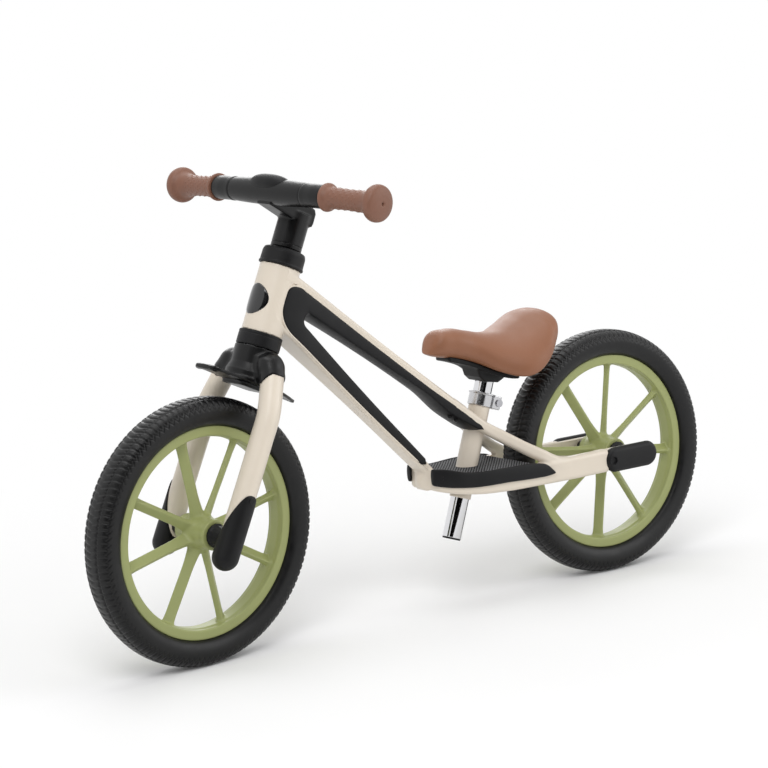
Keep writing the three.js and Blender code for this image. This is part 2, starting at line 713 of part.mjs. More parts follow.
function topCapBody() {
  const seat = capBase + HEADSET_BEARING_HEIGHT + 2 * TOUCH;
  return turned([
    [HEADSET_BEARING_RADIUS + TOUCH, capBase],
    [CUP_RADIUS + 0.7, capBase],
    [CUP_RADIUS + 0.7, capBase + 2],
    [CUP_RADIUS, capBase + 2.6],
    [CUP_RADIUS, capTop - 5],
    [CUP_RADIUS - 1.6, capTop - 1.6],
    [CUP_RADIUS - 5, capTop],
    [STEERER_RADIUS + RUNNING_GAP, capTop],
    [STEERER_RADIUS + RUNNING_GAP, seat],
    [HEADSET_BEARING_RADIUS + TOUCH, seat],
  ]);
}

const headBearing = (base) => ring(
  STEERER_RADIUS + TOUCH,
  HEADSET_BEARING_RADIUS,
  base,
  base + HEADSET_BEARING_HEIGHT - TOUCH,
);

function badgeBody() {
  const oval = new THREE.Shape().absellipse(
    0, headBase + BADGE_RISE, BADGE_WIDTH / 2, BADGE_HEIGHT / 2, 0, 2 * Math.PI,
  );
  const skinRadius = HEAD_RADIUS + TOUCH;
  const sleeve = ring(skinRadius, skinRadius + BADGE_THICKNESS, headBase, headTop, 36);
  return keep(sleeve, frontPlate(oval, -HEAD_RADIUS * 2, -HEAD_RADIUS * 0.4, 12));
}

// ---------------------------------------------------------------- Stem and handlebar
const sweepStart = 76;
const barX = (y) => -BAR_FORWARD + Math.max(0, Math.abs(y) - sweepStart) * Math.tan(radians(BAR_SWEEP));
const gripEnd = GRIP_START + GRIP_LENGTH;

function barBody(grow = 0) {
  const halves = [
    [gripEnd - 7, BAR_CORE_RADIUS],
    [GRIP_START - TOUCH, BAR_CORE_RADIUS],
    [GRIP_START - TOUCH - 0.01, BAR_RADIUS],
    [sweepStart, BAR_RADIUS],
    [BAR_BODY_HALF + 0.8, BAR_RADIUS],
    [BAR_BODY_HALF, BAR_RADIUS + 0.8],
    [BAR_BODY_HALF - 16, BAR_RADIUS + 1.4],
  ];
  const left = halves.map(([y, radius]) => roundStation(barX(y), -y, barHeight, radius + grow));
  const right = halves.map(([y, radius]) => roundStation(barX(y), y, barHeight, radius + grow)).reverse();
  return loftTube([...left, ...right], left.length + right.length - 1, 3, point(0, 0, 1));
}

// The stem: a round sleeve on the steerer and a forward block that cradles the bar.
function stemBody() {
  const sleeve = turned([
    [0, stemBase],
    [STEM_RADIUS, stemBase],
    [STEM_RADIUS, stemTop],
    [0, stemTop],
  ], 24);
  const reach = new THREE.Shape();
  reach.moveTo(STEM_RADIUS - 4, stemTop - 3);
  reach.quadraticCurveTo(STEM_RADIUS, stemTop - 3, STEM_RADIUS, stemTop + 2);
  reach.lineTo(STEM_RADIUS, stemTop + STEM_BLOCK_HEIGHT - 7);
  reach.quadraticCurveTo(STEM_RADIUS, stemTop + STEM_BLOCK_HEIGHT, STEM_RADIUS - 9, stemTop + STEM_BLOCK_HEIGHT);
  reach.lineTo(-BAR_FORWARD, barHeight + BAR_RADIUS * 0.8);
  reach.lineTo(-BAR_FORWARD - BAR_RADIUS * 0.5, barHeight - BAR_RADIUS - 3);
  reach.lineTo(-STEM_RADIUS * 0.9, stemTop - 1);
  const arm = sidePlate(reach, -STEM_BLOCK_HALF_WIDTH, STEM_BLOCK_HALF_WIDTH);
  const steererBore = rod(STEERER_RADIUS + TOUCH, stemBase - 1, stemTop - 2, 20);
  return cut(join(sleeve, arm), steererBore, barBody(TOUCH));
}

// The space that the stem's block takes, which the pad is cut clear of.
const stemBlockSpace = () => block(
  [-BAR_FORWARD + 2, STEM_RADIUS + 5],
  [-STEM_BLOCK_HALF_WIDTH - TOUCH, STEM_BLOCK_HALF_WIDTH + TOUCH],
  [stemTop, stemTop + STEM_BLOCK_HEIGHT + TOUCH],
);

// The cushioned cap over the bar's middle: full in the middle, rounded away at both ends.
function barPadBody() {
  const top = barHeight + BAR_RADIUS + PAD_HEIGHT;
  const base = barHeight + BAR_RADIUS * 0.5;
  const steps = 6;
  const rows = Array.from({ length: steps + 1 }, (unused, step) => {
    const share = -1 + (2 * step) / steps;
    const fullness = Math.sqrt(1 - (share * 0.96) ** 4);
    const height = (top - base) * (0.35 + 0.65 * fullness);
    return {
      x: -BAR_FORWARD - PAD_AHEAD,
      y: (share * PAD_LENGTH) / 2,
      z: base + height / 2,
      width: height / 2,
      height: BAR_RADIUS * (0.55 + 0.55 * fullness),
      corner: 5,
    };
  });
  return cut(loftTube(rows, steps, 2, point(0, 0, 1)), barBody(TOUCH), stemBlockSpace());
}

// A grip with a flange by the thumb and a domed knob at the end.
function gripBody() {
  const bore = BAR_CORE_RADIUS + TOUCH;
  const flange = GRIP_FLANGE_RADIUS;
  const knob = GRIP_KNOB_RADIUS;
  const end = GRIP_LENGTH;
  const grip = turned([
    [bore, 0],
    [flange - 0.8, 0],
    [flange, 1],
    [flange, 3.6],
    [flange - 0.8, 4.8],
    [GRIP_RADIUS, 6.5],
    [GRIP_RADIUS, end - 22],
    [GRIP_RADIUS + 1.6, end - 17.5],
    [knob - 1.6, end - 13],
    [knob, end - 10.5],
    [knob, end - 7.5],
    [knob - 1.8, end - 4],
    [knob * 0.6, end - 1],
    [1.5, end],
    [1.5, end - 6],
    [bore, end - 6],
  ], 18);
  return placed(grip, new THREE.Matrix4()
    .makeTranslation(barX(GRIP_START), -GRIP_START, barHeight)
    .multiply(new THREE.Matrix4().makeRotationZ(radians(BAR_SWEEP)))
    .multiply(new THREE.Matrix4().makeRotationX(Math.PI / 2)));
}

// ---------------------------------------------------------------- Seat post and saddle
const seatTubeTop = SEAT_TUBE_LENGTH - SEAT_TUBE_BELOW;
const seatBore = POST_RADIUS + TOUCH;
const postTop = POST_LENGTH - POST_BELOW;

function seatTubeBody() {
  const tube = ring(seatBore, SEAT_TUBE_RADIUS, -SEAT_TUBE_BELOW, seatTubeTop);
  const slot = block(
    [0, SEAT_TUBE_RADIUS + 2],
    [-SEAT_SLOT_WIDTH / 2, SEAT_SLOT_WIDTH / 2],
    [seatTubeTop - SEAT_SLOT_DEPTH, seatTubeTop + 1],
  );
  return cut(tube, slot);
}

const clampInner = SEAT_TUBE_RADIUS + TOUCH;
const clampOuter = clampInner + CLAMP_WALL;
const clampBase = seatTubeTop - CLAMP_HEIGHT;
const clampBoltX = (clampOuter + CLAMP_EAR_REACH) / 2 + 1;
const clampMiddle = clampBase + CLAMP_HEIGHT / 2;
const earOuter = SEAT_SLOT_WIDTH / 2 + CLAMP_EAR_THICKNESS;

function clampBody() {
  const band = rod(clampOuter, clampBase, seatTubeTop, 24);
  const ears = block([0, CLAMP_EAR_REACH], [-earOuter, earOuter], [clampBase, seatTubeTop]);
  const bore = rod(clampInner, clampBase - 1, seatTubeTop + 1, 24);
  const slit = block(
    [0, CLAMP_EAR_REACH + 1],
    [-SEAT_SLOT_WIDTH / 2, SEAT_SLOT_WIDTH / 2],
    [clampBase - 1, seatTubeTop + 1],
  );
  const boltHole = moved(alongY(rod(CLAMP_BOLT_RADIUS + TOUCH, -30, 30, 16)), clampBoltX, 0, clampMiddle);
  return cut(join(band, ears), bore, slit, boltHole);
}

function clampBoltBody() {
  const seat = earOuter + TOUCH;
  const bolt = alongY(turned([
    [0, -seat - 4],
    [CLAMP_BOLT_RADIUS + 2, -seat - 4],
    [CLAMP_BOLT_RADIUS + 2, -seat],
    [CLAMP_BOLT_RADIUS, -seat],
    [CLAMP_BOLT_RADIUS, seat + 3.6],
    [0, seat + 3.6],
  ], 16));
  return moved(bolt, clampBoltX, 0, clampMiddle);
}

function clampNutBody() {
  const seat = earOuter + TOUCH;
  const nut = hexagonNut(CLAMP_NUT_WIDTH, CLAMP_BOLT_RADIUS + TOUCH, seat, seat + CLAMP_NUT_LENGTH);
  return moved(nut, clampBoltX, 0, clampMiddle);
}

const postBody = () => ring(
  POST_RADIUS - POST_WALL,
  POST_RADIUS,
  -POST_BELOW + PLUG_HEIGHT + TOUCH,
  postTop,
);

function plugBody() {
  const spigot = POST_RADIUS - POST_WALL - TOUCH;
  return turned([
    [0, -POST_BELOW],
    [POST_RADIUS - 0.8, -POST_BELOW],
    [POST_RADIUS, -POST_BELOW + 0.8],
    [POST_RADIUS, -POST_BELOW + PLUG_HEIGHT],
    [spigot, -POST_BELOW + PLUG_HEIGHT],
    [spigot, -POST_BELOW + PLUG_HEIGHT + 9],
    [0, -POST_BELOW + PLUG_HEIGHT + 9],
  ], 20);
}

// Saddle sections from nose to tail, measured from the post's top: shares of its length and
// half width, heights of the middle's top and underside, and how far the edges droop.
const saddleSections = [
  { along: 0, wide: 0.1, top: 1.06, under: 0.96, droop: 0 },
  { along: 0.05, wide: 0.25, top: 1.36, under: 0.88, droop: 0 },
  { along: 0.18, wide: 0.33, top: 1.53, under: 0.78, droop: 0.03 },
  { along: 0.34, wide: 0.42, top: 1.44, under: 0.55, droop: 0.2 },
  { along: 0.47, wide: 0.68, top: 1.3, under: 0.27, droop: 0.5 },
  { along: 0.6, wide: 0.95, top: 1.32, under: 0.15, droop: 0.66 },
  { along: 0.74, wide: 1, top: 1.58, under: 0.22, droop: 0.6 },
  { along: 0.88, wide: 0.9, top: 1.84, under: 0.6, droop: 0.32 },
  { along: 0.97, wide: 0.64, top: 1.74, under: 1.02, droop: 0.08 },
  { along: 1, wide: 0.4, top: 1.56, under: 1.22, droop: 0 },
];

const saddlePlaces = (steps) => blendStations(saddleSections, steps).map((section) => ({
  x: section.along * SADDLE_LENGTH - SADDLE_NOSE_AHEAD,
  wide: section.wide * SADDLE_HALF_WIDTH,
  top: section.top * SADDLE_RISE,
  under: section.under * SADDLE_RISE,
  droop: section.droop * SADDLE_RISE,
}));

// A soft-edged section: full in the middle, rounded at the rim, its sides drooping.
function saddleRing(place, corners = 16) {
  const softness = 2 / 2.7;
  return Array.from({ length: corners }, (unused, corner) => {
    const angle = (2 * Math.PI * corner) / corners;
    const across = Math.sign(Math.cos(angle)) * Math.abs(Math.cos(angle)) ** softness;
    const rise = Math.sign(Math.sin(angle)) * Math.abs(Math.sin(angle)) ** softness;
    const middle = (place.top + place.under) / 2;
    const half = (place.top - place.under) / 2;
    return point(
      place.x,
      across * place.wide,
      middle + rise * half - place.droop * across * across,
    );
  });
}

const saddleBody = () => skin(saddlePlaces(14).map((place) => saddleRing(place)));

// The pan under the padding and the block that grips the post.
function saddleBaseBody() {
  const pan = skin(saddlePlaces(14).slice(3, 12).map((place) => {
    const wide = place.wide * 0.72;
    const shares = [-1, -0.5, 0, 0.5, 1];
    const height = (share) => place.under - place.droop * (share * 0.72) ** 2 - TOUCH;
    return [
      ...shares.map((share) => point(place.x, share * wide, height(share))),
      ...shares.reverse().map((share) => point(place.x, share * wide, height(share) - SADDLE_PAN_THICKNESS)),
    ];
  }));
  const side = new THREE.Shape();
  side.moveTo(-27, 11);
  side.lineTo(-22, -4);
  side.quadraticCurveTo(-16, -10, 4, -14);
  side.quadraticCurveTo(16, -14, 18, 8);
  side.lineTo(0, 10);
  side.lineTo(-20, 13);
  const gripBlock = sidePlate(side, -17, 17);
  const bore = placed(rod(seatBore, -80, TOUCH, 20), new THREE.Matrix4().makeRotationY(seatLean));
  const clear = saddleBody().translate(0, 0, -TOUCH);
  return cut(join(pan, gripBlock), bore, clear);
}

// ---------------------------------------------------------------- Frame
const beamStart = onSteeringAxis(headTop - BEAM_HEAD_DROP);
const beamSeat = onSeatAxis(BEAM_SEAT_JOIN);
const beamWay = beamSeat.clone().sub(beamStart).normalize();
const beamLength = beamSeat.distanceTo(beamStart);
const beamSplit = beamLength - STAY_SPLIT;
const downStart = onSteeringAxis(headBase + DOWN_HEAD_RISE);
const downFoot = point(rearAxleX - NOSE_AHEAD, 0, axleHeight + NOSE_HEIGHT_ABOVE);
const downWay = downFoot.clone().sub(downStart).normalize();
const downLength = downFoot.distanceTo(downStart);

// Half width of the frame seen from above: wide at the head, waisted, wide again past the seat tube.
const seatHalfWidth = SEAT_TUBE_RADIUS + TOUCH + STAY_WIDTH;
const waistShare = 0.6;
const widthCurve = new THREE.CubicInterpolant(
  [0, 0.05, 0.15, 0.3, waistShare, 0.84, 1, 1.12, 1.25],
  [
    FRAME_HEAD_HALF_WIDTH,
    FRAME_HEAD_HALF_WIDTH,
    FRAME_HEAD_HALF_WIDTH - 3,
    FRAME_WAIST_HALF_WIDTH + 1.6,
    FRAME_WAIST_HALF_WIDTH,
    FRAME_WAIST_HALF_WIDTH + 5.4,
    seatHalfWidth,
    ARM_SPREAD - ARM_WIDTH / 2,
    ARM_SPREAD + ARM_WIDTH / 2,
  ],
  1,
);
const frameSpan = beamSeat.x - beamStart.x;
const beamHalfWidth = (x) => widthCurve.evaluate((x - beamStart.x) / frameSpan)[0];
const downHalfWidth = (x) => beamHalfWidth(Math.min(x, beamStart.x + waistShare * frameSpan));

const beamUp = point(-beamWay.z, 0, beamWay.x);
const downUp = point(-downWay.z, 0, downWay.x);
const beamHalf = (along) => THREE.MathUtils.lerp(BEAM_HEAD_HALF, BEAM_SEAT_HALF, along / beamSplit);
const downHalf = (along) => THREE.MathUtils.lerp(DOWN_HEAD_HALF, DOWN_FOOT_HALF, along / downLength);

// The beam's middle line, gently arched between the head and the seat tube.
function beamMiddle(along) {
  const share = along / beamLength;
  return beamStart.clone()
    .addScaledVector(beamWay, along)
    .addScaledVector(beamUp, 4 * BEAM_ARCH * share * (1 - share));
}

// Distances from `from` to `to` that every loft along the same tube shares: one beside the head
// tube, then `pitch` apart.
function stationsAlong(from, to, pitch) {
  const inner = [HEAD_RADIUS * 0.7];
  for (let along = pitch; along < to - pitch / 9; along += pitch) {
    inner.push(along);
  }
  return [from, ...inner, to];
}

// A loft along a tube between two heights: `low` and `high` give them from the half height.
function tubeLoft(distances, middleAt, up, halfAt, halfWidthAt, low, high, inset, corner) {
  const stations = distances.map((along) => {
    const middle = middleAt(along);
    const half = halfAt(along);
    const base = low(half, along);
    const top = high(half, along);
    const place = middle.clone().addScaledVector(up, (base + top) / 2);
    const width = halfWidthAt(middle.x) - inset;
    return { x: place.x, y: 0, z: place.z, width, height: (top - base) / 2, corner };
  });
  return loftTube(stations, stations.length - 1, 1);
}

const BEAM_STEPS = 5;
const DOWN_STEPS = 4;
const beamLoft = (from, to, ...section) => tubeLoft(
  stationsAlong(from, to, beamSplit / BEAM_STEPS),
  beamMiddle,
  beamUp,
  beamHalf,
  beamHalfWidth,
  ...section,
);
const downLoft = (from, to, ...section) => tubeLoft(
  stationsAlong(from, to, downLength / DOWN_STEPS),
  (along) => downStart.clone().addScaledVector(downWay, along),
  downUp,
  downHalf,
  downHalfWidth,
  ...section,
);

// The head tube's own space, and all that lies ahead of the steering axis.
const headClear = placed(
  join(
    rod(HEAD_RADIUS + TOUCH, headBase - HEAD_LENGTH, headTop + HEAD_LENGTH, 28),
    block([-WHEELBASE, 0], [-2 * ARM_SPREAD, 2 * ARM_SPREAD], [headBase - HEAD_LENGTH, headTop + HEAD_LENGTH]),
  ),
  steeringMatrix,
);
const seatClear = placed(rod(SEAT_TUBE_RADIUS + TOUCH, -60, 140, 24), seatMatrix);
const skinInset = LINER_WALL + TOUCH;

const smooth = THREE.MathUtils.smoothstep;
// How far the liner swells below the beam, greatest where the beam splits around the seat tube.
const linerFlare = (along) => LINER_FLARE
  * smooth(along, beamSplit - STAY_SPLIT, beamSplit)
  * (1 - 0.6 * smooth(along, beamSplit, beamLength));
const linerTipDrop = (along) => LINER_TIP * smooth(along, beamLength - 3 * LINER_TIP, beamLength - LINER_TIP);

// The liner's bands along the two tubes. `grow` widens their edges when they cut the tubes' recesses.
function linerUpperBand(grow, wider) {
  return beamLoft(
    0,
    beamLength - LINER_TIP + grow,
    (half, along) => -half - linerFlare(along) - grow,
    (half, along) => half - LINER_SHOULDER + 1.4 * smooth(along, beamSplit - STAY_SPLIT, beamSplit)
      - linerTipDrop(along) + grow,
    -wider,
    wider > 0 ? 0.4 : 1.2,
  );
}
function linerLowerBand(grow, wider) {
  return downLoft(
    0,
    downLength - 14 + grow,
    (half) => -half + LINER_SILL - grow,
    (half) => half + grow,
    -wider,
    wider > 0 ? 0.4 : 1.2,
  );
}

// The web that closes the corner between the two bands, with a round apex to the window.
function linerWeb(grow, wider) {
  const apexAlong = beamLength * APEX_ALONG;
  const upper = beamMiddle(apexAlong).addScaledVector(beamUp, 4 - beamHalf(apexAlong));
  const lower = downStart.clone()
    .addScaledVector(downWay, apexAlong)
    .addScaledVector(downUp, downHalf(apexAlong) - 4);
  const back = upper.clone().add(lower).multiplyScalar(0.5).add(point(-9, 0, 1));
  const web = new THREE.Shape();
  web.moveTo(downStart.x, downStart.z);
  web.lineTo(lower.x, lower.z);
  web.quadraticCurveTo(back.x, back.z, upper.x, upper.z);
  web.lineTo(beamStart.x, beamStart.z);
  const plate = sidePlate(web, -ARM_SPREAD, ARM_SPREAD);
  return wider > 0 ? plate : keep(plate, flanks(beamSplit));
}

// The frame's bulk as seen from above, from the steering axis to a distance along the beam.
function flanks(end) {
  const distances = stationsAlong(0, end, beamSplit / BEAM_STEPS);
  const sides = distances.map((along) => {
    const { x } = beamMiddle(along);
    return [x, beamHalfWidth(x)];
  });
  const edge = [[downStart.x - HEAD_RADIUS, FRAME_HEAD_HALF_WIDTH], ...sides];
  const farEdge = edge.map(([x, y]) => [x, -y]).reverse();
  return planPlate(outline([...edge, ...farEdge]), downFoot.z, beamStart.z + HEAD_LENGTH);
}

// The liner's rounded front, as a side plate that everything ahead of it is trimmed to.
function linerFront(grow) {
  const front = LINER_FRONT - grow;
  const corner = LINER_CORNER + grow;
  const brow = headTop - BEAM_HEAD_DROP + BEAM_HEAD_HALF - LINER_SHOULDER - LINER_BROW_DROP + grow;
  const chin = headBase + LINER_CHIN;
  const far = WHEELBASE;
  const shape = new THREE.Shape();
  shape.moveTo(front, chin);
  shape.lineTo(front, brow - corner);
  shape.quadraticCurveTo(front, brow, front + corner, brow);
  shape.lineTo(front + 3 * corner, brow + LINER_BROW_DROP);
  shape.lineTo(front + 4 * corner, brow + 2 * corner);
  shape.lineTo(far, brow + 2 * corner);
  shape.lineTo(far, chin - far);
  shape.lineTo(front + LINER_CHIN * 1.6, chin - LINER_CHIN * 1.6);
  shape.lineTo(front + LINER_CHIN * 0.6, chin - LINER_CHIN * 0.88 - grow);
  shape.quadraticCurveTo(front, chin - LINER_CHIN * 0.58, front, chin);
  return placed(sidePlate(shape, -2 * ARM_SPREAD, 2 * ARM_SPREAD), steeringMatrix);
}

// All that lies inside the liner's edges: the liner's own bulk, or the recess that it sits in.
function linerBulk(grow, wider) {
  const bands = join(linerUpperBand(grow, wider), linerLowerBand(grow, wider), linerWeb(grow, wider));
  return keep(bands, linerFront(grow));
}

// A stay from the beam's end past the seat tube and down to the arm, on the left.
function stayLoft(grow, inset) {
  const start = beamMiddle(beamSplit);
  const beside = beamMiddle(beamLength);
  const foot = point(rearAxleX - STAY_FOOT_AHEAD, 0, axleHeight + 8);
  const armY = ARM_SPREAD;
  const half = STAY_WIDTH / 2;
  const split = beamHalfWidth(start.x) / 2;
  const place = (at, y, width, height) => ({
    x: at.x,
    y: -y + inset / 2,
    z: at.z + inset / 2,
    width: width + grow - inset / 2,
    height: height + grow - inset / 2,
    corner: 5 + grow,
  });
  const between = (share) => beside.clone().lerp(foot, share);
  return loftTube([
    place(start, split + TOUCH / 4, split - TOUCH / 2, BEAM_SEAT_HALF),
    place(start.clone().lerp(beside, 0.5), (split + seatHalfWidth - half) / 2, (split + half) / 2, BEAM_SEAT_HALF),
    place(beside, seatHalfWidth - half, half, STAY_HEIGHT / 2 - 0.3),
    place(between(0.25).add(point(0, 0, -1)), beamHalfWidth(between(0.25).x) - half, half, STAY_HEIGHT / 2),
    place(between(0.5).add(point(0, 0, -2)), beamHalfWidth(between(0.5).x) - half, half, STAY_HEIGHT / 2),
    place(between(0.78).add(point(0, 0, -1.5)), armY - 1, half, STAY_HEIGHT / 2),
    place(foot, armY, half - 0.3, STAY_HEIGHT / 2),
  ], 8);
}

// All of the frame between two distances from the beam's end, along the beam.
function nearBeamEnd(from, to) {
  const facing = new THREE.Matrix4().makeBasis(beamWay, point(0, 1, 0), beamUp);
  facing.setPosition(beamMiddle(beamSplit));
  return placed(block([from, to], [-2 * ARM_SPREAD, 2 * ARM_SPREAD], [-50, 50]), facing);
}

function beamBody() {
  const full = beamLoft(0, beamSplit, (half) => -half + skinInset, (half) => half, 0, 5);
  const core = beamLoft(0, beamSplit, (half) => -half + skinInset, (half) => half - 2, skinInset, 4);
  return cut(join(cut(full, linerBulk(TOUCH, 12)), core), headClear);
}

function downTubeBody() {
  const full = downLoft(0, downLength, (half) => -half, (half) => half - skinInset, 0, 5);
  const core = downLoft(0, downLength, (half) => -half + 1, (half) => half - skinInset, skinInset, 4);
  const tube = join(cut(full, linerBulk(TOUCH, 12)), core);
  return cut(join(tube, noseBody(0)), headClear);
}

// The front joint, where the down tube turns into the two arms.
const noseEnd = downFoot.x - NOSE_INSET;
function noseBody(grow) {
  const stations = [
    { x: noseEnd - NOSE_LENGTH, z: 8, width: 9, height: 4 },
    { x: noseEnd - NOSE_LENGTH * 0.6, z: 7.6, width: 12.5, height: 8 },
    { x: noseEnd, z: 9, width: 16.8, height: 14 },
    { x: noseEnd + NOSE_LENGTH, z: 9, width: 22, height: 15 },
  ].map((station) => ({
    x: station.x,
    y: 0,
    z: axleHeight + station.z,
    width: station.width + grow,
    height: station.height + grow,
    corner: 4 + grow,
  }));
  const behind = noseEnd + grow;
  return cut(
    loftTube(stations, stations.length - 1),
    block([behind, behind + 3 * NOSE_LENGTH], [-ARM_SPREAD, ARM_SPREAD], [axleHeight - 40, axleHeight + 40]),
  );
}

// Middle line of the left arm, from the front joint to the rear axle.
const armStations = () => [
  { share: -0.015, y: 8, z: 12, height: 0.93 },
  { share: 0.03, y: 18.5, z: 7.7, height: 0.91 },
  { share: 0.09, y: 28.5, z: 3.4, height: 0.89 },
  { share: 0.19, y: 36.8, z: -0.4, height: 0.9 },
  { share: 0.34, y: 43, z: -2.5, height: 0.89 },
  { share: 0.51, y: ARM_SPREAD, z: -2.2, height: 0.95 },
  { share: 0.67, y: ARM_SPREAD, z: -2.2, height: 1 },
  { share: 0.89, y: ARM_SPREAD, z: -2, height: 1 },
].map(({ share, y, z, height }) => ({
  x: noseEnd + share * (rearAxleX - noseEnd),
  y: -y,
  z: axleHeight + z,
  height: height * ARM_HEIGHT / 2,
}));

// Outer face of the left arm, `beyond` it, at a distance along the bike.
function armSide(x, beyond = 0) {
  const stations = blendStations(armStations(), 28);
  const after = Math.max(1, stations.findIndex((station) => station.x >= x));
  const [a, b] = [stations[after - 1], stations[after]];
  const slope = (b.y - a.y) / (b.x - a.x);
  return a.y + slope * (x - a.x) - (ARM_WIDTH / 2 + beyond) * Math.hypot(1, slope);
}

function armLoft(grow) {
  return loftTube(armStations().map((station) => ({
    x: station.x,
    y: station.y,
    z: station.z,
    width: ARM_WIDTH / 2 + grow,
    height: station.height + grow,
    corner: 4.5 + grow,
  })), 10);
}

const armFace = ARM_SPREAD - ARM_WIDTH / 2;
const armNutSeat = armFace + DROPOUT_WIDTH;
const axleCoverX = rearAxleX;
const axleCoverZ = axleHeight - 2;
const axleCoverScrewX = axleCoverX - AXLE_COVER_LENGTH / 2 + 9;

// A rounded bar's outline about (x, z), inset from its full size.
function capsuleRing(x, z, length, height, inset, y, steps = 6) {
  const radius = height / 2 - inset;
  const reach = (length - height) / 2;
  return [1, -1].flatMap((end) => Array.from({ length: steps + 1 }, (unused, step) => {
    const angle = (end > 0 ? -1 : 1) * (Math.PI / 2) + (Math.PI * step) / steps;
    return point(x + end * reach + radius * Math.cos(angle), y, z + radius * Math.sin(angle));
  }));
}

function dropoutPlate() {
  const front = rearAxleX - 60;
  const length = ARM_TAIL + 60;
  const middle = front + length / 2;
  return skin([-armFace, -armNutSeat].map(
    (y) => capsuleRing(middle, axleHeight - 2, length, ARM_HEIGHT - 1, 0, y),
  ));
}

function axleCoverShell(grow) {
  const levels = [
    [armNutSeat + TOUCH - grow, 0],
    [armNutSeat + AXLE_COVER_DEPTH - 5, 0],
    [armNutSeat + AXLE_COVER_DEPTH - 1.6, 1.8],
    [armNutSeat + AXLE_COVER_DEPTH + grow, 5],
  ];
  return skin(levels.map(([y, inset]) => capsuleRing(
    axleCoverX, axleCoverZ, AXLE_COVER_LENGTH + 2 * grow, AXLE_COVER_HEIGHT + 2 * grow, inset, -y,
  )));
}

const atRearAxle = (geometry) => moved(geometry, rearAxleX, 0, axleHeight);
const atCoverScrew = (geometry) => moved(geometry, axleCoverScrewX, 0, axleCoverZ);

function axleCoverBody() {
  const outer = armNutSeat + AXLE_COVER_DEPTH;
  const pocketRadius = NUT_WIDTH * NUT_CORNER_REACH;
  const pocket = atRearAxle(alongY(rod(pocketRadius, -armNutSeat - NUT_LENGTH - 1.5, -armNutSeat + 1)));
  const recess = atCoverScrew(alongY(rod(SCREW_RADIUS * 2, -outer - 1, -outer + 2.2)));
  const hole = atCoverScrew(alongY(rod(SCREW_RADIUS + TOUCH, -outer - 1, -armNutSeat + 1, 16)));
  return cut(axleCoverShell(0), pocket, recess, hole);
}

const axleCoverScrewBody = () => atCoverScrew(alongY(rod(
  SCREW_RADIUS,
  -armNutSeat - AXLE_COVER_DEPTH + 3,
  -armNutSeat - TOUCH,
  12,
)));

function armBody() {
  const hole = atRearAxle(alongY(rod(axleBore, -armNutSeat - 30, -armFace + 1)));
  const front = noseEnd + TOUCH;
  const noseSpace = block(
    [front - 2 * NOSE_LENGTH, front],
    [-2 * ARM_SPREAD, ARM_WIDTH],
    [axleHeight - ARM_HEIGHT, axleHeight + ARM_HEIGHT],
  );
  const otherSide = block(
    [front - NOSE_LENGTH, front + NOSE_LENGTH],
    [-TOUCH / 2, ARM_SPREAD],
    [0, 2 * axleHeight],
  );
  const tubeSpace = downLoft(
    0,
    downLength + TOUCH,
    (half) => -half - TOUCH,
    (half) => half + TOUCH,
    -TOUCH,
    5,
  );
  return cut(
    join(armLoft(0), dropoutPlate()),
    axleCoverShell(TOUCH),
    hole,
    noseSpace,
    otherSide,
    tubeSpace,
  );
}

function stayBody() {
  const full = cut(stayLoft(0, 0), linerUpperBand(TOUCH, 30));
  const beamSpace = nearBeamEnd(-STAY_SPLIT, TOUCH);
  return cut(join(full, stayLoft(0, skinInset)), beamSpace, seatClear, armLoft(TOUCH));
}

function linerBody() {
  const beamCore = beamLoft(0, beamLength, (half) => -half + LINER_WALL, (half) => half + 20, LINER_WALL, 4);
  const downCore = downLoft(0, downLength, (half) => -half - 20, (half) => half - LINER_WALL, LINER_WALL, 4);
  const stayCore = stayLoft(TOUCH, skinInset);
  return cut(
    linerBulk(0, 0),
    cut(beamCore, nearBeamEnd(TOUCH, beamLength)),
    downCore,
    stayCore,
    mirrored(stayCore),
    headClear,
    seatClear,
    noseBody(TOUCH),
  );
}

// ---------------------------------------------------------------- Footrest
// The side covers' middle height and half height, from front to tip, along their length.
const coverLevels = [
  { share: 0, z: 13.3, height: 10.8 },
  { share: 0.22, z: 7.1, height: 9.2 },
  { share: 0.6, z: 5.7, height: 8.9 },
  { share: 0.84, z: 4.4, height: 9.1 },
  { share: 1, z: -2.6, height: 1.4 },
];
const coverStart = noseEnd - 1.5;

function coverStations(steps) {
  return blendStations(coverLevels, steps).map(({ share, z, height }) => ({
    x: coverStart + share * SIDE_COVER_LENGTH,
    z: axleHeight + z,
    height,
  }));
}

// The deck between the side covers, over the arms' tops and around the seat tube.
function deckPlate() {
  const deckEnd = rearAxleX - TYRE_RADIUS - DECK_TYRE_GAP;
  const places = coverStations(9).filter(({ x }) => x > noseEnd && x < deckEnd);
  const rear = places[places.length - 1];
  const stations = [...places, { ...rear, x: deckEnd }].map(({ x, z, height }) => ({
    x,
    y: 0,
    z: z + height - DECK_DROP - DECK_THICKNESS / 2,
    width: -armSide(x, -3 * TOUCH),
    height: DECK_THICKNESS / 2,
    corner: 0.8,
  }));
  return loftTube(stations, stations.length - 1, 1);
}

const deckBody = () => cut(deckPlate(), armLoft(TOUCH), mirrored(armLoft(TOUCH)), noseBody(TOUCH), seatClear);

// The slim moulding along the left arm's outer face, square at the front and pointed at the back.
function sideCoverBody() {
  const wall = SIDE_COVER_WALL;
  const stations = coverStations(9).map(({ x, z, height }) => ({
    x,
    y: armSide(x, TOUCH + wall / 2),
    z,
    width: wall / 2,
    height,
    corner: 0.9,
  }));
  return cut(loftTube(stations, stations.length - 1, 1), armLoft(TOUCH), noseBody(TOUCH));
}

// ---------------------------------------------------------------- Assembly
const bike = new THREE.Group();
bike.name = "balance_bike";

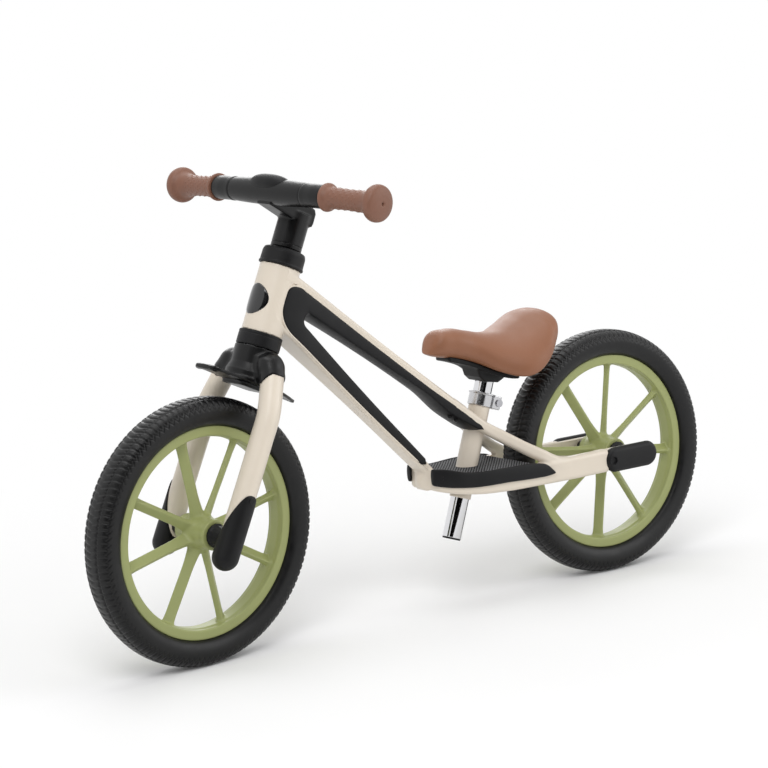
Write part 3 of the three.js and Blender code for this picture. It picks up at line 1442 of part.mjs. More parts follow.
function addFrame() {
  const frame = new THREE.Group();
  bike.add(frame);
  addMesh(frame, "top_beam", beamBody(), creamPaint());
  addMesh(frame, "down_tube", downTubeBody(), creamPaint());
  addMesh(frame, "frame_liner", linerBody(), blackPlastic());
  addMesh(frame, "footrest_deck", deckBody(), blackPlastic());
  const stay = stayBody();
  const arm = armBody();
  const cover = sideCoverBody();
  const axleCover = axleCoverBody();
  for (const [name, side] of sides) {
    addMesh(frame, `${name}_stay`, onSide(stay, side), creamPaint());
    addMesh(frame, `${name}_arm`, onSide(arm, side), creamPaint());
    addMesh(frame, `${name}_side_cover`, onSide(cover, side), blackPlastic());
    addMesh(frame, `${name}_axle_cover`, onSide(axleCover, side), blackPlastic());
    addMesh(frame, `${name}_axle_cover_screw`, onSide(axleCoverScrewBody(), side), zincSteel());
  }
}

function addSeatTube() {
  const seatTube = new THREE.Group();
  seatTube.applyMatrix4(seatMatrix);
  bike.add(seatTube);
  addMesh(seatTube, "seat_tube", seatTubeBody(), creamPaint());
  addMesh(seatTube, "seat_clamp", clampBody(), castAlloy());
  addMesh(seatTube, "seat_clamp_bolt", clampBoltBody(), zincSteel());
  addMesh(seatTube, "seat_clamp_nut", clampNutBody(), zincSteel());
  addMesh(seatTube, "seat_post", postBody(), chromePlate());
  addMesh(seatTube, "seat_post_plug", plugBody(), blackPlastic());
}

function addSaddle() {
  const saddle = new THREE.Group();
  saddle.position.copy(onSeatAxis(postTop));
  bike.add(saddle);
  addMesh(saddle, "saddle", saddleBody(), brownVinyl());
  addMesh(saddle, "saddle_base", saddleBaseBody(), blackPlastic());
}

function addRearWheel() {
  const axle = new THREE.Group();
  axle.position.set(rearAxleX, 0, axleHeight);
  bike.add(axle);
  addWheel(axle, "rear", REAR_WHEEL_ANGLE);
  addMesh(axle, "rear_axle", axleBody(armNutSeat + NUT_LENGTH), zincSteel());
  for (const [name, side] of sides) {
    addMesh(axle, `rear_spacer_${name}`, onSide(spacerBody(armFace), side), blackPlastic());
    addMesh(axle, `rear_axle_nut_${name}`, onSide(nutBody(armNutSeat), side), zincSteel());
  }
}

function addHead(parent) {
  addMesh(parent, "head_tube", ring(HEAD_RADIUS - HEAD_WALL, HEAD_RADIUS, headBase, headTop, 28), creamPaint());
  addMesh(parent, "head_badge", badgeBody(), blackPlastic());
  addMesh(parent, "lower_headset_cup", lowerCupBody(), blackPlastic());
  addMesh(parent, "top_headset_cap", topCapBody(), blackPlastic());
  addMesh(parent, "lower_headset_bearing", headBearing(collarTop + TOUCH), zincSteel());
  addMesh(parent, "top_headset_bearing", headBearing(capBase), zincSteel());
}

function addFork(parent) {
  const fork = new THREE.Group();
  fork.rotation.z = radians(STEER_TURN);
  parent.add(fork);
  addMesh(fork, "steerer_tube", steererBody(), zincSteel());
  addMesh(fork, "fork_crown", crownBody(), blackPlastic());
  addMesh(fork, "stem", stemBody(), blackPlastic());
  addMesh(fork, "handlebar", barBody(), blackPlastic());
  addMesh(fork, "handlebar_pad", barPadBody(), blackPlastic());
  const leg = legBody();
  const cover = legCoverBody();
  for (const [name, side] of sides) {
    addMesh(fork, `${name}_fork_leg`, onSide(leg, side), creamPaint());
    addMesh(fork, `${name}_leg_cover`, onSide(cover, side), blackPlastic());
    addMesh(fork, `${name}_leg_cover_screw`, onSide(legScrewBody(), side), zincSteel());
    addMesh(fork, `${name}_grip`, onSide(gripBody(), side), brownVinyl());
  }
  const axle = new THREE.Group();
  axle.position.x = -FORK_OFFSET;
  fork.add(axle);
  addWheel(axle, "front", FRONT_WHEEL_ANGLE + RAKE);
  addMesh(axle, "front_axle", axleBody(nutSeat + NUT_LENGTH), zincSteel());
  for (const [name, side] of sides) {
    addMesh(axle, `front_spacer_${name}`, onSide(spacerBody(legFace), side), blackPlastic());
    addMesh(axle, `front_axle_nut_${name}`, onSide(nutBody(nutSeat), side), zincSteel());
  }
}

const steering = new THREE.Group();
steering.applyMatrix4(steeringMatrix);
bike.add(steering);
addFrame();
addSeatTube();
addSaddle();
addRearWheel();
addHead(steering);
addFork(steering);

export default bike;
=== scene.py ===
"""A child's balance bike: its moulded wheels, painted frame, fork and padded saddle.

Sizes are in millimetres unless a comment says otherwise; finished meshes are in metres.
"""

import json
import logging
import math
from collections.abc import Callable, Sequence
from dataclasses import dataclass
from enum import Enum

import bpy
import numpy as np
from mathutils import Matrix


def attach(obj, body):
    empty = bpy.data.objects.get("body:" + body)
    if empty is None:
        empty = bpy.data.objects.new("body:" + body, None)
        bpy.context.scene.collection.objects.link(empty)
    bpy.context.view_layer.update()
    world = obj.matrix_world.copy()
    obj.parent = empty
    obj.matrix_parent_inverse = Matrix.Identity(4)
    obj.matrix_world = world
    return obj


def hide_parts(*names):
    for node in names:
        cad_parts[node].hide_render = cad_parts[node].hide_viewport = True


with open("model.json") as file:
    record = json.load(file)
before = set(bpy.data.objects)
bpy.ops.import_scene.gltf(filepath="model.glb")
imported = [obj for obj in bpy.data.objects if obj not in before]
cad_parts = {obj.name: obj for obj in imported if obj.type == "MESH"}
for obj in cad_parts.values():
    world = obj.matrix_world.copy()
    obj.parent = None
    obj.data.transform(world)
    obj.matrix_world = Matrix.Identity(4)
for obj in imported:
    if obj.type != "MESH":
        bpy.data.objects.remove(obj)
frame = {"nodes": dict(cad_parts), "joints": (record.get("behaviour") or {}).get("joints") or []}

LOG = logging.getLogger("balance_bike")
MM = 0.001
Array = np.ndarray
Field = Callable[[Array, Array, Array], Array]
Tree = bpy.types.NodeTree
Socket = bpy.types.NodeSocket


# -------------------------------- Places


@dataclass(frozen=True)
class Axes:
    """A right-handed set of axes with its own zero, in millimetres."""

    origin: Array
    x: Array
    y: Array
    z: Array

    def local(self, x: Array, y: Array, z: Array) -> list[Array]:
        """Coordinates along these axes of points given in the bike's own.

        Args:
            x, y, z: coordinates that broadcast together.

        Returns:
            The three local coordinates, each no larger than it has to be.
        """
        offsets = (x - self.origin[0], y - self.origin[1], z - self.origin[2])
        return [
            sum(offset * part for offset, part in zip(offsets, axis) if part != 0.0)
            for axis in (self.x, self.y, self.z)
        ]

    def world(self, points: Array) -> Array:
        """The bike's coordinates of points given along these axes."""
        return self.origin + points @ np.array([self.x, self.y, self.z])

    def turned(self, directions: Array) -> Array:
        """Directions given along these axes, in the bike's own."""
        return directions @ np.array([self.x, self.y, self.z])


def joint(name: str) -> dict:
    """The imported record's joint of that name."""
    return next(row for row in frame["joints"] if row["name"] == name)


def unit(vector: Sequence[float]) -> Array:
    """A vector of length 1 along the one given."""
    array = np.array(vector, float)
    return array / np.linalg.norm(array)


AXLE_HEIGHT = 147.0
# How far ahead of the rear axle the seat tube's line passes, at the axle's height.
SEAT_TUBE_AHEAD = 214.2
# A number too small to matter, kept under divisions.
TINY = 1e-9
REAR_AXLE_X = 1000 * joint("rear_wheel_spin")["pos_m"][0]
ACROSS = np.array([0.0, 1.0, 0.0])
UP = np.array([0.0, 0.0, 1.0])
BIKE = Axes(np.zeros(3), np.array([1.0, 0, 0]), ACROSS, UP)


def steering_axes() -> Axes:
    """The head tube's axes.

    Returns:
        Axes with z up the steering axis and their zero level with the fork's axle.
    """
    up = unit(joint("steering")["axis"])
    along = 1000 * np.array(joint("steering")["pos_m"])
    axle = 1000 * np.array(joint("front_wheel_spin")["pos_m"])
    zero = along + up * float((axle - along) @ up)
    return Axes(zero, np.cross(ACROSS, up), ACROSS, up)


def fork_axes() -> Axes:
    """The fork's axes: as the head tube's, turned with the wheel.

    Returns:
        Axes with y along the front wheel's axle.
    """
    head = steering_axes()
    side = unit(joint("front_wheel_spin")["axis"])
    return Axes(head.origin, np.cross(side, head.z), side, head.z)


def wheel_axes(name: str) -> Axes:
    """A wheel's axes.

    Args:
        name: the joint that the wheel spins on.

    Returns:
        Axes at the wheel's middle with y along its axle.
    """
    row = joint(name)
    side = unit(row["axis"])
    ahead = unit(np.cross(side, UP))
    return Axes(1000 * np.array(row["pos_m"]), ahead, side, np.cross(ahead, side))


def seat_axes() -> Axes:
    """The seat tube's axes: z up the post, zero at axle height."""
    up = unit(joint("seat_height")["axis"])
    return Axes(np.array([REAR_AXLE_X - SEAT_TUBE_AHEAD, 0, AXLE_HEIGHT]), np.cross(ACROSS, up), ACROSS, up)


HEAD = steering_axes()
FORK = fork_axes()
SEAT = seat_axes()


# -------------------------------- Surfaces


def smooth_union(a: Array, b: Array, blend: float) -> Array:
    """The nearer of two distances, with a fillet: min(a, b) less a parabola where they are close."""
    share = np.clip(0.5 + 0.5 * (b - a) / blend, 0, 1)
    return b + (a - b) * share - blend * share * (1 - share)


def smooth_cut(a: Array, b: Array, blend: float) -> Array:
    """Shape a without shape b, with a soft edge."""
    return -smooth_union(-a, b, blend)


def pillow(a: Array, b: Array, corner: float) -> Array:
    """Where two distances are both negative, its edge rounded to `corner`.

    The corner is the length of (a + corner, b + corner) where both are positive.
    """
    a, b = a + corner, b + corner
    return np.hypot(np.maximum(a, 0), np.maximum(b, 0)) + np.minimum(np.maximum(a, b), 0) - corner


def bar(u: Array, v: Array, half_u: Array, half_v: Array, corner: float) -> Array:
    """Distance to a long bar of rounded rectangular section, measured across it."""
    return pillow(np.abs(u) - half_u, np.abs(v) - half_v, corner)


def between(value: Array, low: float, high: float) -> Array:
    """Distance outside a span, negative inside it."""
    return np.maximum(low - value, value - high)


def curve(at: Array, knots: Sequence[float], values: Sequence[float]) -> Array:
    """A smooth curve through points: a cubic between neighbours, its slopes the mean of theirs.

    Args:
        at: where to read it; outside the knots it keeps its end values.
        knots, values: the points.

    Returns:
        The curve's values.
    """
    k, v = np.array(knots, float), np.array(values, float)
    slope = np.gradient(v, k)
    at = np.clip(at, k[0], k[-1])
    i = np.clip(np.searchsorted(k, at, side="right") - 1, 0, len(k) - 2)
    width = k[i + 1] - k[i]
    t = (at - k[i]) / width
    s = t * t * (3 - 2 * t)
    rise = width * t * (1 - t) * (slope[i] * (1 - t) - slope[i + 1] * t)
    return v[i] * (1 - s) + v[i + 1] * s + rise


def outline_distance(u: Array, v: Array, corners: Array) -> Array:
    """Signed distance to a polygon: the nearest edge's, negative inside.

    Inside is where a line to the point's left crosses the polygon an odd number of times.

    Args:
        u, v: the point's two coordinates.
        corners: the polygon's.

    Returns:
        The distance.
    """
    shape = np.broadcast(u, v).shape
    nearest = np.full(shape, np.inf)
    inside = np.zeros(shape, bool)
    for (au, av), (bu, bv) in zip(corners, np.roll(corners, -1, axis=0)):
        eu, ev = bu - au, bv - av
        share = np.clip(((u - au) * eu + (v - av) * ev) / (eu * eu + ev * ev), 0, 1)
        nearest = np.minimum(nearest, np.hypot(u - au - share * eu, v - av - share * ev))
        if ev != 0:
            inside ^= ((av > v) != (bv > v)) & (u < au + (v - av) * eu / ev)
    return np.where(inside, -nearest, nearest)


# The eight corners of a cell: the last axis changes fastest.
CELL_CORNERS = np.array(list(np.ndindex(2, 2, 2)))


@dataclass
class Shell:
    """A closed skin: points in millimetres, faces, and the normals where they are known."""

    points: Array
    faces: Array
    normals: Array | None = None

    def placed(self, axes: Axes) -> "Shell":
        """The same skin, taken from those axes to the bike's."""
        normals = None if self.normals is None else axes.turned(self.normals)
        return Shell(axes.world(self.points), self.faces, normals)

    def mirrored(self) -> "Shell":
        """The same skin on the other side of the bike.

        Returns:
            The skin with y negated and each face read backwards, so that it still faces outwards.
        """
        flip = np.array([1.0, -1.0, 1.0])
        normals = None if self.normals is None else self.normals * flip
        return Shell(self.points * flip, self.faces[:, [1, 0, 3, 2]], normals)


def joined(shells: Sequence[Shell]) -> Shell:
    """Several skins as one, without merging them.

    Args:
        shells: the skins.

    Returns:
        One skin, with normals where all of them have some.
    """
    starts = np.cumsum([0] + [len(shell.points) for shell in shells[:-1]])
    faces = [shell.faces + start for shell, start in zip(shells, starts)]
    normals = None
    if all(shell.normals is not None for shell in shells):
        normals = np.concatenate([shell.normals for shell in shells])
    return Shell(np.concatenate([shell.points for shell in shells]), np.concatenate(faces), normals)


def slope_of(field: Field, points: Array, step: float = 0.15) -> Array:
    """How fast a field rises along each axis: half the difference a step to each side.

    Args:
        field: the field.
        points: where to read it.
        step: how far to each side.

    Returns:
        The slope at each point.
    """
    x, y, z = points.T
    return np.stack([
        field(x + step, y, z) - field(x - step, y, z),
        field(x, y + step, z) - field(x, y - step, z),
        field(x, y, z + step) - field(x, y, z - step),
    ], axis=1) / (2 * step)


def crossing_points(value: Array, where: Array) -> Array:
    """Mean place of a field's zeros on the edges of each cell of a grid.

    An edge whose ends have values a and b of unlike sign is crossed at a / (a - b) along it.

    Args:
        value: the field at the grid's points.
        where: the cells that the surface crosses.

    Returns:
        The places, counted in cells from the grid's corner.
    """
    around = where[:, None, :] + CELL_CORNERS[None, :, :]
    level = value[around[..., 0], around[..., 1], around[..., 2]]
    total, hits = np.zeros((len(where), 3)), np.zeros(len(where))
    for start, corner in enumerate(CELL_CORNERS):
        # The corner next to this one along each axis is 4, 2 or 1 further on.
        for axis, jump in enumerate((4, 2, 1)):
            if corner[axis] == 0:
                a, b = level[:, start], level[:, start + jump]
                crossed = (a < 0) != (b < 0)
                share = np.where(crossed, a / np.where(crossed, a - b, 1), 0)
                total += crossed[:, None] * (corner + share[:, None] * np.eye(3)[axis])
                hits += crossed
    return where + total / hits[:, None]


def crossing_faces(inside: Array, index: Array) -> Array:
    """A face for each grid edge that the surface crosses, over the four cells round that edge.

    Args:
        inside: whether each point of the grid is inside the shape.
        index: the number of each cell's point.

    Returns:
        The faces, all looking out of the shape.
    """
    faces = []
    for axis in range(3):
        first = np.moveaxis(inside, axis, 0)[:-1, 1:-1, 1:-1]
        second = np.moveaxis(inside, axis, 0)[1:, 1:-1, 1:-1]
        cell = np.moveaxis(index, axis, 0)
        i, j, k = np.argwhere(first != second).T
        quads = np.stack([cell[i, j, k], cell[i, j + 1, k], cell[i, j + 1, k + 1], cell[i, j, k + 1]], axis=1)
        outward = second[i, j, k] if axis == 1 else first[i, j, k]
        faces.append(np.where(outward[:, None], quads, quads[:, ::-1]))
    return np.concatenate(faces)


def skin_of(field: Field, low: Sequence[float], high: Sequence[float], pitch: float) -> Shell:
    """The closed surface where a field is zero.

    A point is set in every cell of a grid that the surface crosses, at the mean of its edge
    crossings, then moved down the field's slope on to the surface. Each grid edge that crosses
    it joins the four cells around it with a face.

    Args:
        field: distance to the shape, negative inside.
        low, high: corners of the space that holds it.
        pitch: the grid's spacing.

    Returns:
        The skin, with the field's own slope as normals.
    """
    low, high = np.array(low, float), np.array(high, float)
    counts = np.ceil((high - low) / pitch).astype(int) + 1
    x, y, z = (low[axis] + pitch * np.arange(counts[axis]) for axis in range(3))
    value = np.broadcast_to(field(x[:, None, None], y[None, :, None], z[None, None, :]), counts)
    inside = value < 0
    cells = tuple(counts - 1)
    tally = sum(
        inside[a:a + cells[0], b:b + cells[1], c:c + cells[2]].astype(np.int8) for a, b, c in CELL_CORNERS
    )
    mixed = (tally > 0) & (tally < len(CELL_CORNERS))
    index = np.full(cells, -1)
    index[mixed] = np.arange(mixed.sum())
    points = low + pitch * crossing_points(value, np.argwhere(mixed))
    for _ in range(3):
        slope = slope_of(field, points)
        steep = np.maximum((slope ** 2).sum(axis=1), 1e-4)
        move = (-field(*points.T) / steep)[:, None] * slope
        points += move * np.minimum(1, pitch / np.maximum(np.linalg.norm(move, axis=1), TINY))[:, None]
    slope = slope_of(field, points)
    normals = slope / np.maximum(np.linalg.norm(slope, axis=1), TINY)[:, None]
    return Shell(points, crossing_faces(inside, index), normals)


def grid_skin(rows: Array, closed_rows: bool = False) -> Shell:
    """A skin over rings of points, closed round each ring.

    Args:
        rows: rings, as an array of rows, points in a row, and three coordinates.
        closed_rows: whether the last ring joins the first; if not, both ends are capped.

    Returns:
        The skin, its faces outwards where rings turn left seen along the rows.
    """
    count, around = rows.shape[:2]
    at = np.arange(count * around).reshape(count, around)
    follow = np.roll(at, -1, axis=0) if closed_rows else at[1:]
    start = at if closed_rows else at[:-1]
    quads = np.stack([start, np.roll(start, -1, axis=1), np.roll(follow, -1, axis=1), follow], axis=-1)
    faces = quads.reshape(-1, 4)
    points = rows.reshape(-1, 3)
    if not closed_rows:
        middles = np.stack([rows[0].mean(axis=0), rows[-1].mean(axis=0)])
        points = np.concatenate([points, middles])
        first, last = at[0], at[-1]
        poles = np.full(around, count * around)
        faces = np.concatenate([
            faces,
            np.stack([np.roll(first, -1), first, poles, poles], axis=1),
            np.stack([last, np.roll(last, -1), poles + 1, poles + 1], axis=1),
        ])
    return Shell(points, faces)


def tube_skin(path: Array, radii: Array, around: int = 40) -> Shell:
    """A tube along a path.

    Each ring is the path's point plus radius times (cos, sin) on two directions square to the
    path, the first of them kept as near to the bike's side as it can be.

    Args:
        path: points along the tube's middle.
        radii: its radius, at each point or the same at all.
        around: points in a ring.

    Returns:
        The skin, capped at both ends.
    """
    way = np.gradient(path, axis=0)
    way /= np.linalg.norm(way, axis=1)[:, None]
    hint = ACROSS if abs(way[0] @ ACROSS) < 0.9 else UP
    side = hint - (way @ hint)[:, None] * way
    side /= np.linalg.norm(side, axis=1)[:, None]
    other = np.cross(way, side)
    angle = full_turn(around)
    ring = side[:, None, :] * np.cos(angle)[:, None] + other[:, None, :] * np.sin(angle)[:, None]
    return grid_skin(path[:, None, :] + np.broadcast_to(radii, len(path))[:, None, None] * ring)


def turned_skin(profile: Array, around: int = 64, closed_rows: bool = False) -> Shell:
    """A profile turned about z: (r cos a, r sin a, h) for each of its points and each angle.

    Args:
        profile: points (radius, height), rising where the radius is largest.
        around: points in a ring.
        closed_rows: whether the profile is a loop; if not, its ends are capped.

    Returns:
        The skin.
    """
    angle = full_turn(around)
    radius, height = profile[:, 0, None], profile[:, 1, None]
    rows = np.stack(np.broadcast_arrays(radius * np.cos(angle), radius * np.sin(angle), height), axis=-1)
    return grid_skin(rows, closed_rows)


def softened(value: Array, power: float) -> Array:
    """The value with its sign kept and its size raised to a power."""
    return np.sign(value) * np.abs(value) ** power


def full_turn(count: int) -> Array:
    """Angles spaced evenly round a circle."""
    return np.linspace(0, 2 * np.pi, count, endpoint=False)


def eased(corners: Sequence[Sequence[float]], radius: float, steps: int = 5) -> Array:
    """An open profile with its inner corners rounded.

    Each corner b becomes the curve a(1-t)^2 + 2bt(1-t) + ct^2 between points on its two sides.

    Args:
        corners: the profile's points.
        radius: how far from a corner its curve starts, at most about half a side.
        steps: points on each curve.

    Returns:
        The profile.
    """
    points = np.array(corners, float)
    out = [points[:1]]
    share = np.linspace(0, 1, steps)[:, None]
    for before, here, after in zip(points[:-2], points[1:-1], points[2:]):
        back, on = before - here, after - here
        reach_back = min(radius, 0.49 * np.linalg.norm(back))
        reach_on = min(radius, 0.49 * np.linalg.norm(on))
        a = here + unit(back) * reach_back
        c = here + unit(on) * reach_on
        out.append(a * (1 - share) ** 2 + 2 * here * share * (1 - share) + c * share ** 2)
    return np.concatenate([*out, points[-1:]])


def axes_along(origin: Array, way: Array) -> Axes:
    """Axes for a turned piece.

    Args:
        origin: their zero.
        way: the direction of z.

    Returns:
        The axes, with x square to both the direction and the bike's side.
    """
    z = unit(way)
    x = unit(np.cross(ACROSS if abs(z[1]) < 0.9 else UP, z))
    return Axes(np.array(origin, float), x, np.cross(z, x), z)


def smooth_step(share: Array) -> Array:
    """A smooth rise: 0 up to 0, 1 from 1 on, t^2 (3 - 2t) between them."""
    share = np.clip(share, 0, 1)
    return share ** 2 * (3 - 2 * share)


def rounded_end(distance: Array, reach: float) -> Array:
    """A quarter oval: 0 at an end, 1 from `reach` away, sqrt(t (2 - t)) between them."""
    share = np.clip(distance / reach, 0, 1)
    return np.sqrt(share * (2 - share))


def add_object(name: str, data: bpy.types.ID) -> bpy.types.Object:
    """A new object in the scene that shows a mesh, a lamp or a camera.

    Args:
        name: its name.
        data: what it shows.

    Returns:
        The object.
    """
    made = bpy.data.objects.new(name, data)
    bpy.context.scene.collection.objects.link(made)
    return made


def make_piece(
    name: str, shell: Shell, body: str, nodes: Sequence[str], finish: "Finish"
) -> bpy.types.Object:
    """A Blender object for a skin, riding on its body in place of CAD nodes.

    Args:
        name: the piece's name.
        shell: its skin.
        body: the body it moves with.
        nodes: the CAD nodes that it stands for.
        finish: its material.

    Returns:
        The object.
    """
    mesh = bpy.data.meshes.new(name)
    # A face whose last two corners are one point is a triangle.
    flat = shell.faces[:, 2] == shell.faces[:, 3]
    sizes = np.where(flat, 3, 4)
    keep = np.ones(shell.faces.shape, bool)
    keep[:, 3] = ~flat
    mesh.vertices.add(len(shell.points))
    mesh.vertices.foreach_set("co", (shell.points * MM).astype(np.float32).ravel())
    mesh.loops.add(int(sizes.sum()))
    mesh.loops.foreach_set("vertex_index", shell.faces[keep].astype(np.int32))
    mesh.polygons.add(len(sizes))
    mesh.polygons.foreach_set("loop_start", np.concatenate([[0], np.cumsum(sizes)[:-1]]).astype(np.int32))
    mesh.polygons.foreach_set("use_smooth", np.ones(len(sizes), bool))
    mesh.update(calc_edges=True)
    mesh.validate()
    if shell.normals is not None:
        mesh.normals_split_custom_set_from_vertices(shell.normals.tolist())
    piece = add_object(name, mesh)
    mesh.materials.append(finish.material())
    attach(piece, body)
    if nodes:
        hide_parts(*nodes)
    LOG.info("%s: %d faces", name, len(sizes))
    return piece


# -------------------------------- Finishes


class Slot(Enum):
    """The record's material slots."""

    PAINT = "cream_paint"
    GREEN = "green_moulding"
    TYRE = "tyre_rubber"
    PLASTIC = "black_plastic"
    VINYL = "brown_vinyl"
    GRIP = "brown_rubber"
    CHROME = "chrome"
    CAST = "cast_alloy"
    ZINC = "zinc_steel"


class Texture(Enum):
    """How the surface of a finish was made."""

    SPRAYED = "sprayed"
    MOULDED = "moulded"
    FOAMED = "foamed"
    LEATHER = "leather"
    PLATED = "plated"
    CAST = "cast"
    GRATED = "grated"


def linear(colour: str, lighten: float = 1.0) -> tuple[float, float, float, float]:
    """A colour in linear light.

    Args:
        colour: the colour as #rrggbb.
        lighten: a factor that makes it lighter or darker.

    Returns:
        Red, green, blue and 1.
    """
    parts = [int(colour[i:i + 2], 16) / 255 for i in (1, 3, 5)]
    light = [p / 12.92 if p <= 0.04045 else ((p + 0.055) / 1.055) ** 2.4 for p in parts]
    return (*(min(1.0, value * lighten) for value in light), 1.0)


def cleared_tree(owner: bpy.types.Material | bpy.types.World) -> Tree:
    """The node tree of a material or a world, emptied.

    Args:
        owner: the material or world.

    Returns:
        Its tree.
    """
    owner.use_nodes = True
    owner.node_tree.nodes.clear()
    return owner.node_tree


def add_node(tree: Tree, kind: str, settings: dict | None = None, **inputs: object) -> bpy.types.Node:
    """Adds a node.

    Args:
        tree: the node tree.
        kind: the node's type, without ShaderNode before it.
        settings: its own properties.
        inputs: its sockets by name, spaces as underscores, or number after an underscore; a
            socket links, and anything else is set.

    Returns:
        The node.
    """
    node = tree.nodes.new(f"ShaderNode{kind}")
    for name, value in (settings or {}).items():
        setattr(node, name, value)
    for name, value in inputs.items():
        socket = node.inputs[int(name[1:])] if name[0] == "_" else node.inputs[name.replace("_", " ")]
        if isinstance(value, Socket):
            tree.links.new(value, socket)
        else:
            socket.default_value = value
    return node


# Sizes in millimetres of the slow drift of a colour and of the smudges in a gloss.
DRIFT = 40.0
SMUDGE = 12.0
# The grey that scuffs bring out on foam, and the light grey painted on raised studs as their highlight.
SCUFFED = "#262627"
STUD_HIGHLIGHT = "#828386"


@dataclass(frozen=True)
class Finish:
    """What a surface is made of and how it was made.

    Attributes:
        name: the material's common name and process.
        slot: the record's slot that it stands for.
        colour: sRGB hex.
        roughness: mean roughness; it wanders by `unevenness` either way.
        texture: how the surface was made.
        grain: size in millimetres of its finest pattern.
        depth: that pattern's height in millimetres.
        mottle: how far the colour wanders, as a share.
        ior, metallic, coat, shine: the shader's own values.
    """

    name: str
    slot: Slot
    colour: str
    roughness: float
    texture: Texture
    grain: float
    depth: float
    mottle: float = 0.05
    unevenness: float = 0.04
    ior: float = 1.5
    metallic: float = 0.0
    coat: float = 0.0
    shine: float = 0.5

    def material(self) -> bpy.types.Material:
        """The finish's material, made once and then shared.

        The colour drifts and the roughness wanders with slow noise; the pattern bumps the surface.

        Returns:
            The material.
        """
        known = bpy.data.materials.get(self.name)
        if known:
            return known
        made = bpy.data.materials.new(self.name)
        tree = cleared_tree(made)
        place = add_node(tree, "TexCoord").outputs["Object"]
        drift = add_node(tree, "TexNoise", Vector=place, Scale=1 / (DRIFT * MM), Detail=4.0)
        colour = add_node(
            tree, "Mix", {"data_type": "RGBA"}, Factor=drift.outputs["Fac"],
            _6=linear(self.colour, 1 - self.mottle), _7=linear(self.colour, 1 + self.mottle),
        ).outputs[2]
        smudge = add_node(tree, "TexNoise", Vector=place, Scale=1 / (SMUDGE * MM), Detail=6.0)
        rough = add_node(
            tree, "MapRange", Value=smudge.outputs["Fac"], From_Min=0.3, From_Max=0.7,
            To_Min=self.roughness - self.unevenness, To_Max=self.roughness + self.unevenness,
        ).outputs["Result"]
        colour, height = self.pattern(tree, place, colour)
        bump = add_node(tree, "Bump", Strength=1.0, Distance=self.depth * MM, Height=height)
        shader = add_node(
            tree, "BsdfPrincipled", Base_Color=colour, Roughness=rough, IOR=self.ior,
            Metallic=self.metallic, Specular_IOR_Level=self.shine, Coat_Weight=self.coat,
            Coat_Roughness=0.12, Normal=bump.outputs["Normal"],
        )
        add_node(tree, "OutputMaterial", Surface=shader.outputs["BSDF"])
        return made

    def pattern(self, tree: Tree, place: Socket, colour: Socket) -> tuple[Socket, Socket]:
        """Draws the surface's pattern: pebbles, foam, studs, or plain fine noise.

        Args:
            tree: the node tree.
            place: Object coordinates.
            colour: the plain colour.

        Returns:
            The colour with its pattern, and the pattern's height from 0 to 1.
        """
        if self.texture is Texture.LEATHER:
            return self.pebbles(tree, place, colour)
        if self.texture is Texture.FOAMED:
            return self.foam(tree, place, colour)
        if self.texture is Texture.GRATED:
            return self.grating(tree, place, colour)
        # Polishing leaves a plated surface smoother than spray, a mould or a casting does.
        detail = 1.2 if self.texture is Texture.PLATED else 3.0
        grain = add_node(
            tree, "TexNoise", Vector=place, Scale=1 / (self.grain * MM),
            Detail=detail, Roughness=0.55,
        )
        return colour, grain.outputs["Fac"]

    def pebbles(self, tree: Tree, place: Socket, colour: Socket) -> tuple[Socket, Socket]:
        """Embossed pebbles: cells with soft creases between them, wrinkled across, the creases darkened as
        painted shade.

        Args:
            tree, place, colour: as for `pattern`.

        Returns:
            The colour, and the height.
        """
        scale = 1 / (self.grain * MM)
        cells = add_node(
            tree, "TexVoronoi", {"feature": "DISTANCE_TO_EDGE"}, Vector=place, Scale=scale,
        ).outputs["Distance"]
        crease = add_node(
            tree, "MapRange", Value=cells, From_Min=0.0, From_Max=0.35,
        ).outputs["Result"]
        wrinkle = add_node(tree, "TexNoise", Vector=place, Scale=scale * 0.3, Detail=5.0)
        height = add_node(
            tree, "Math", {"operation": "MULTIPLY_ADD"},
            _0=wrinkle.outputs["Fac"], _1=0.6, _2=crease,
        ).outputs[0]
        # Painted shade: the colour is darkened by up to a tenth towards each pebble's edge, where shade falls
        # in the creases.
        dark = add_node(
            tree, "Mix", {"data_type": "RGBA", "blend_type": "MULTIPLY"}, Factor=0.10,
            _6=colour, _7=crease,
        ).outputs[2]
        return dark, height

    def foam(self, tree: Tree, place: Socket, colour: Socket) -> tuple[Socket, Socket]:
        """Closed cells of the foam, and scuffs that take the black off to grey.

        Args:
            tree, place, colour: as for `pattern`.

        Returns:
            The colour, and the height.
        """
        scale = 1 / (self.grain * MM)
        pores = add_node(tree, "TexVoronoi", Vector=place, Scale=scale).outputs["Distance"]
        dust = add_node(
            tree, "TexNoise", Vector=place, Scale=scale * 0.2, Detail=8.0, Roughness=0.7,
        ).outputs["Fac"]
        scuffed = add_node(
            tree, "MapRange", Value=dust, From_Min=0.5, From_Max=0.8, To_Max=0.25,
        ).outputs["Result"]
        grey = add_node(
            tree, "Mix", {"data_type": "RGBA"}, Factor=scuffed, _6=colour, _7=linear(SCUFFED),
        ).outputs[2]
        return grey, pores

    def grating(self, tree: Tree, place: Socket, colour: Socket) -> tuple[Socket, Socket]:
        """Raised diamonds: two sets of ridges that cross at a slant, kept where both are high, and painted
        light grey as their highlight.

        Args:
            tree, place, colour: as for `pattern`.

        Returns:
            The colour, and the height.
        """
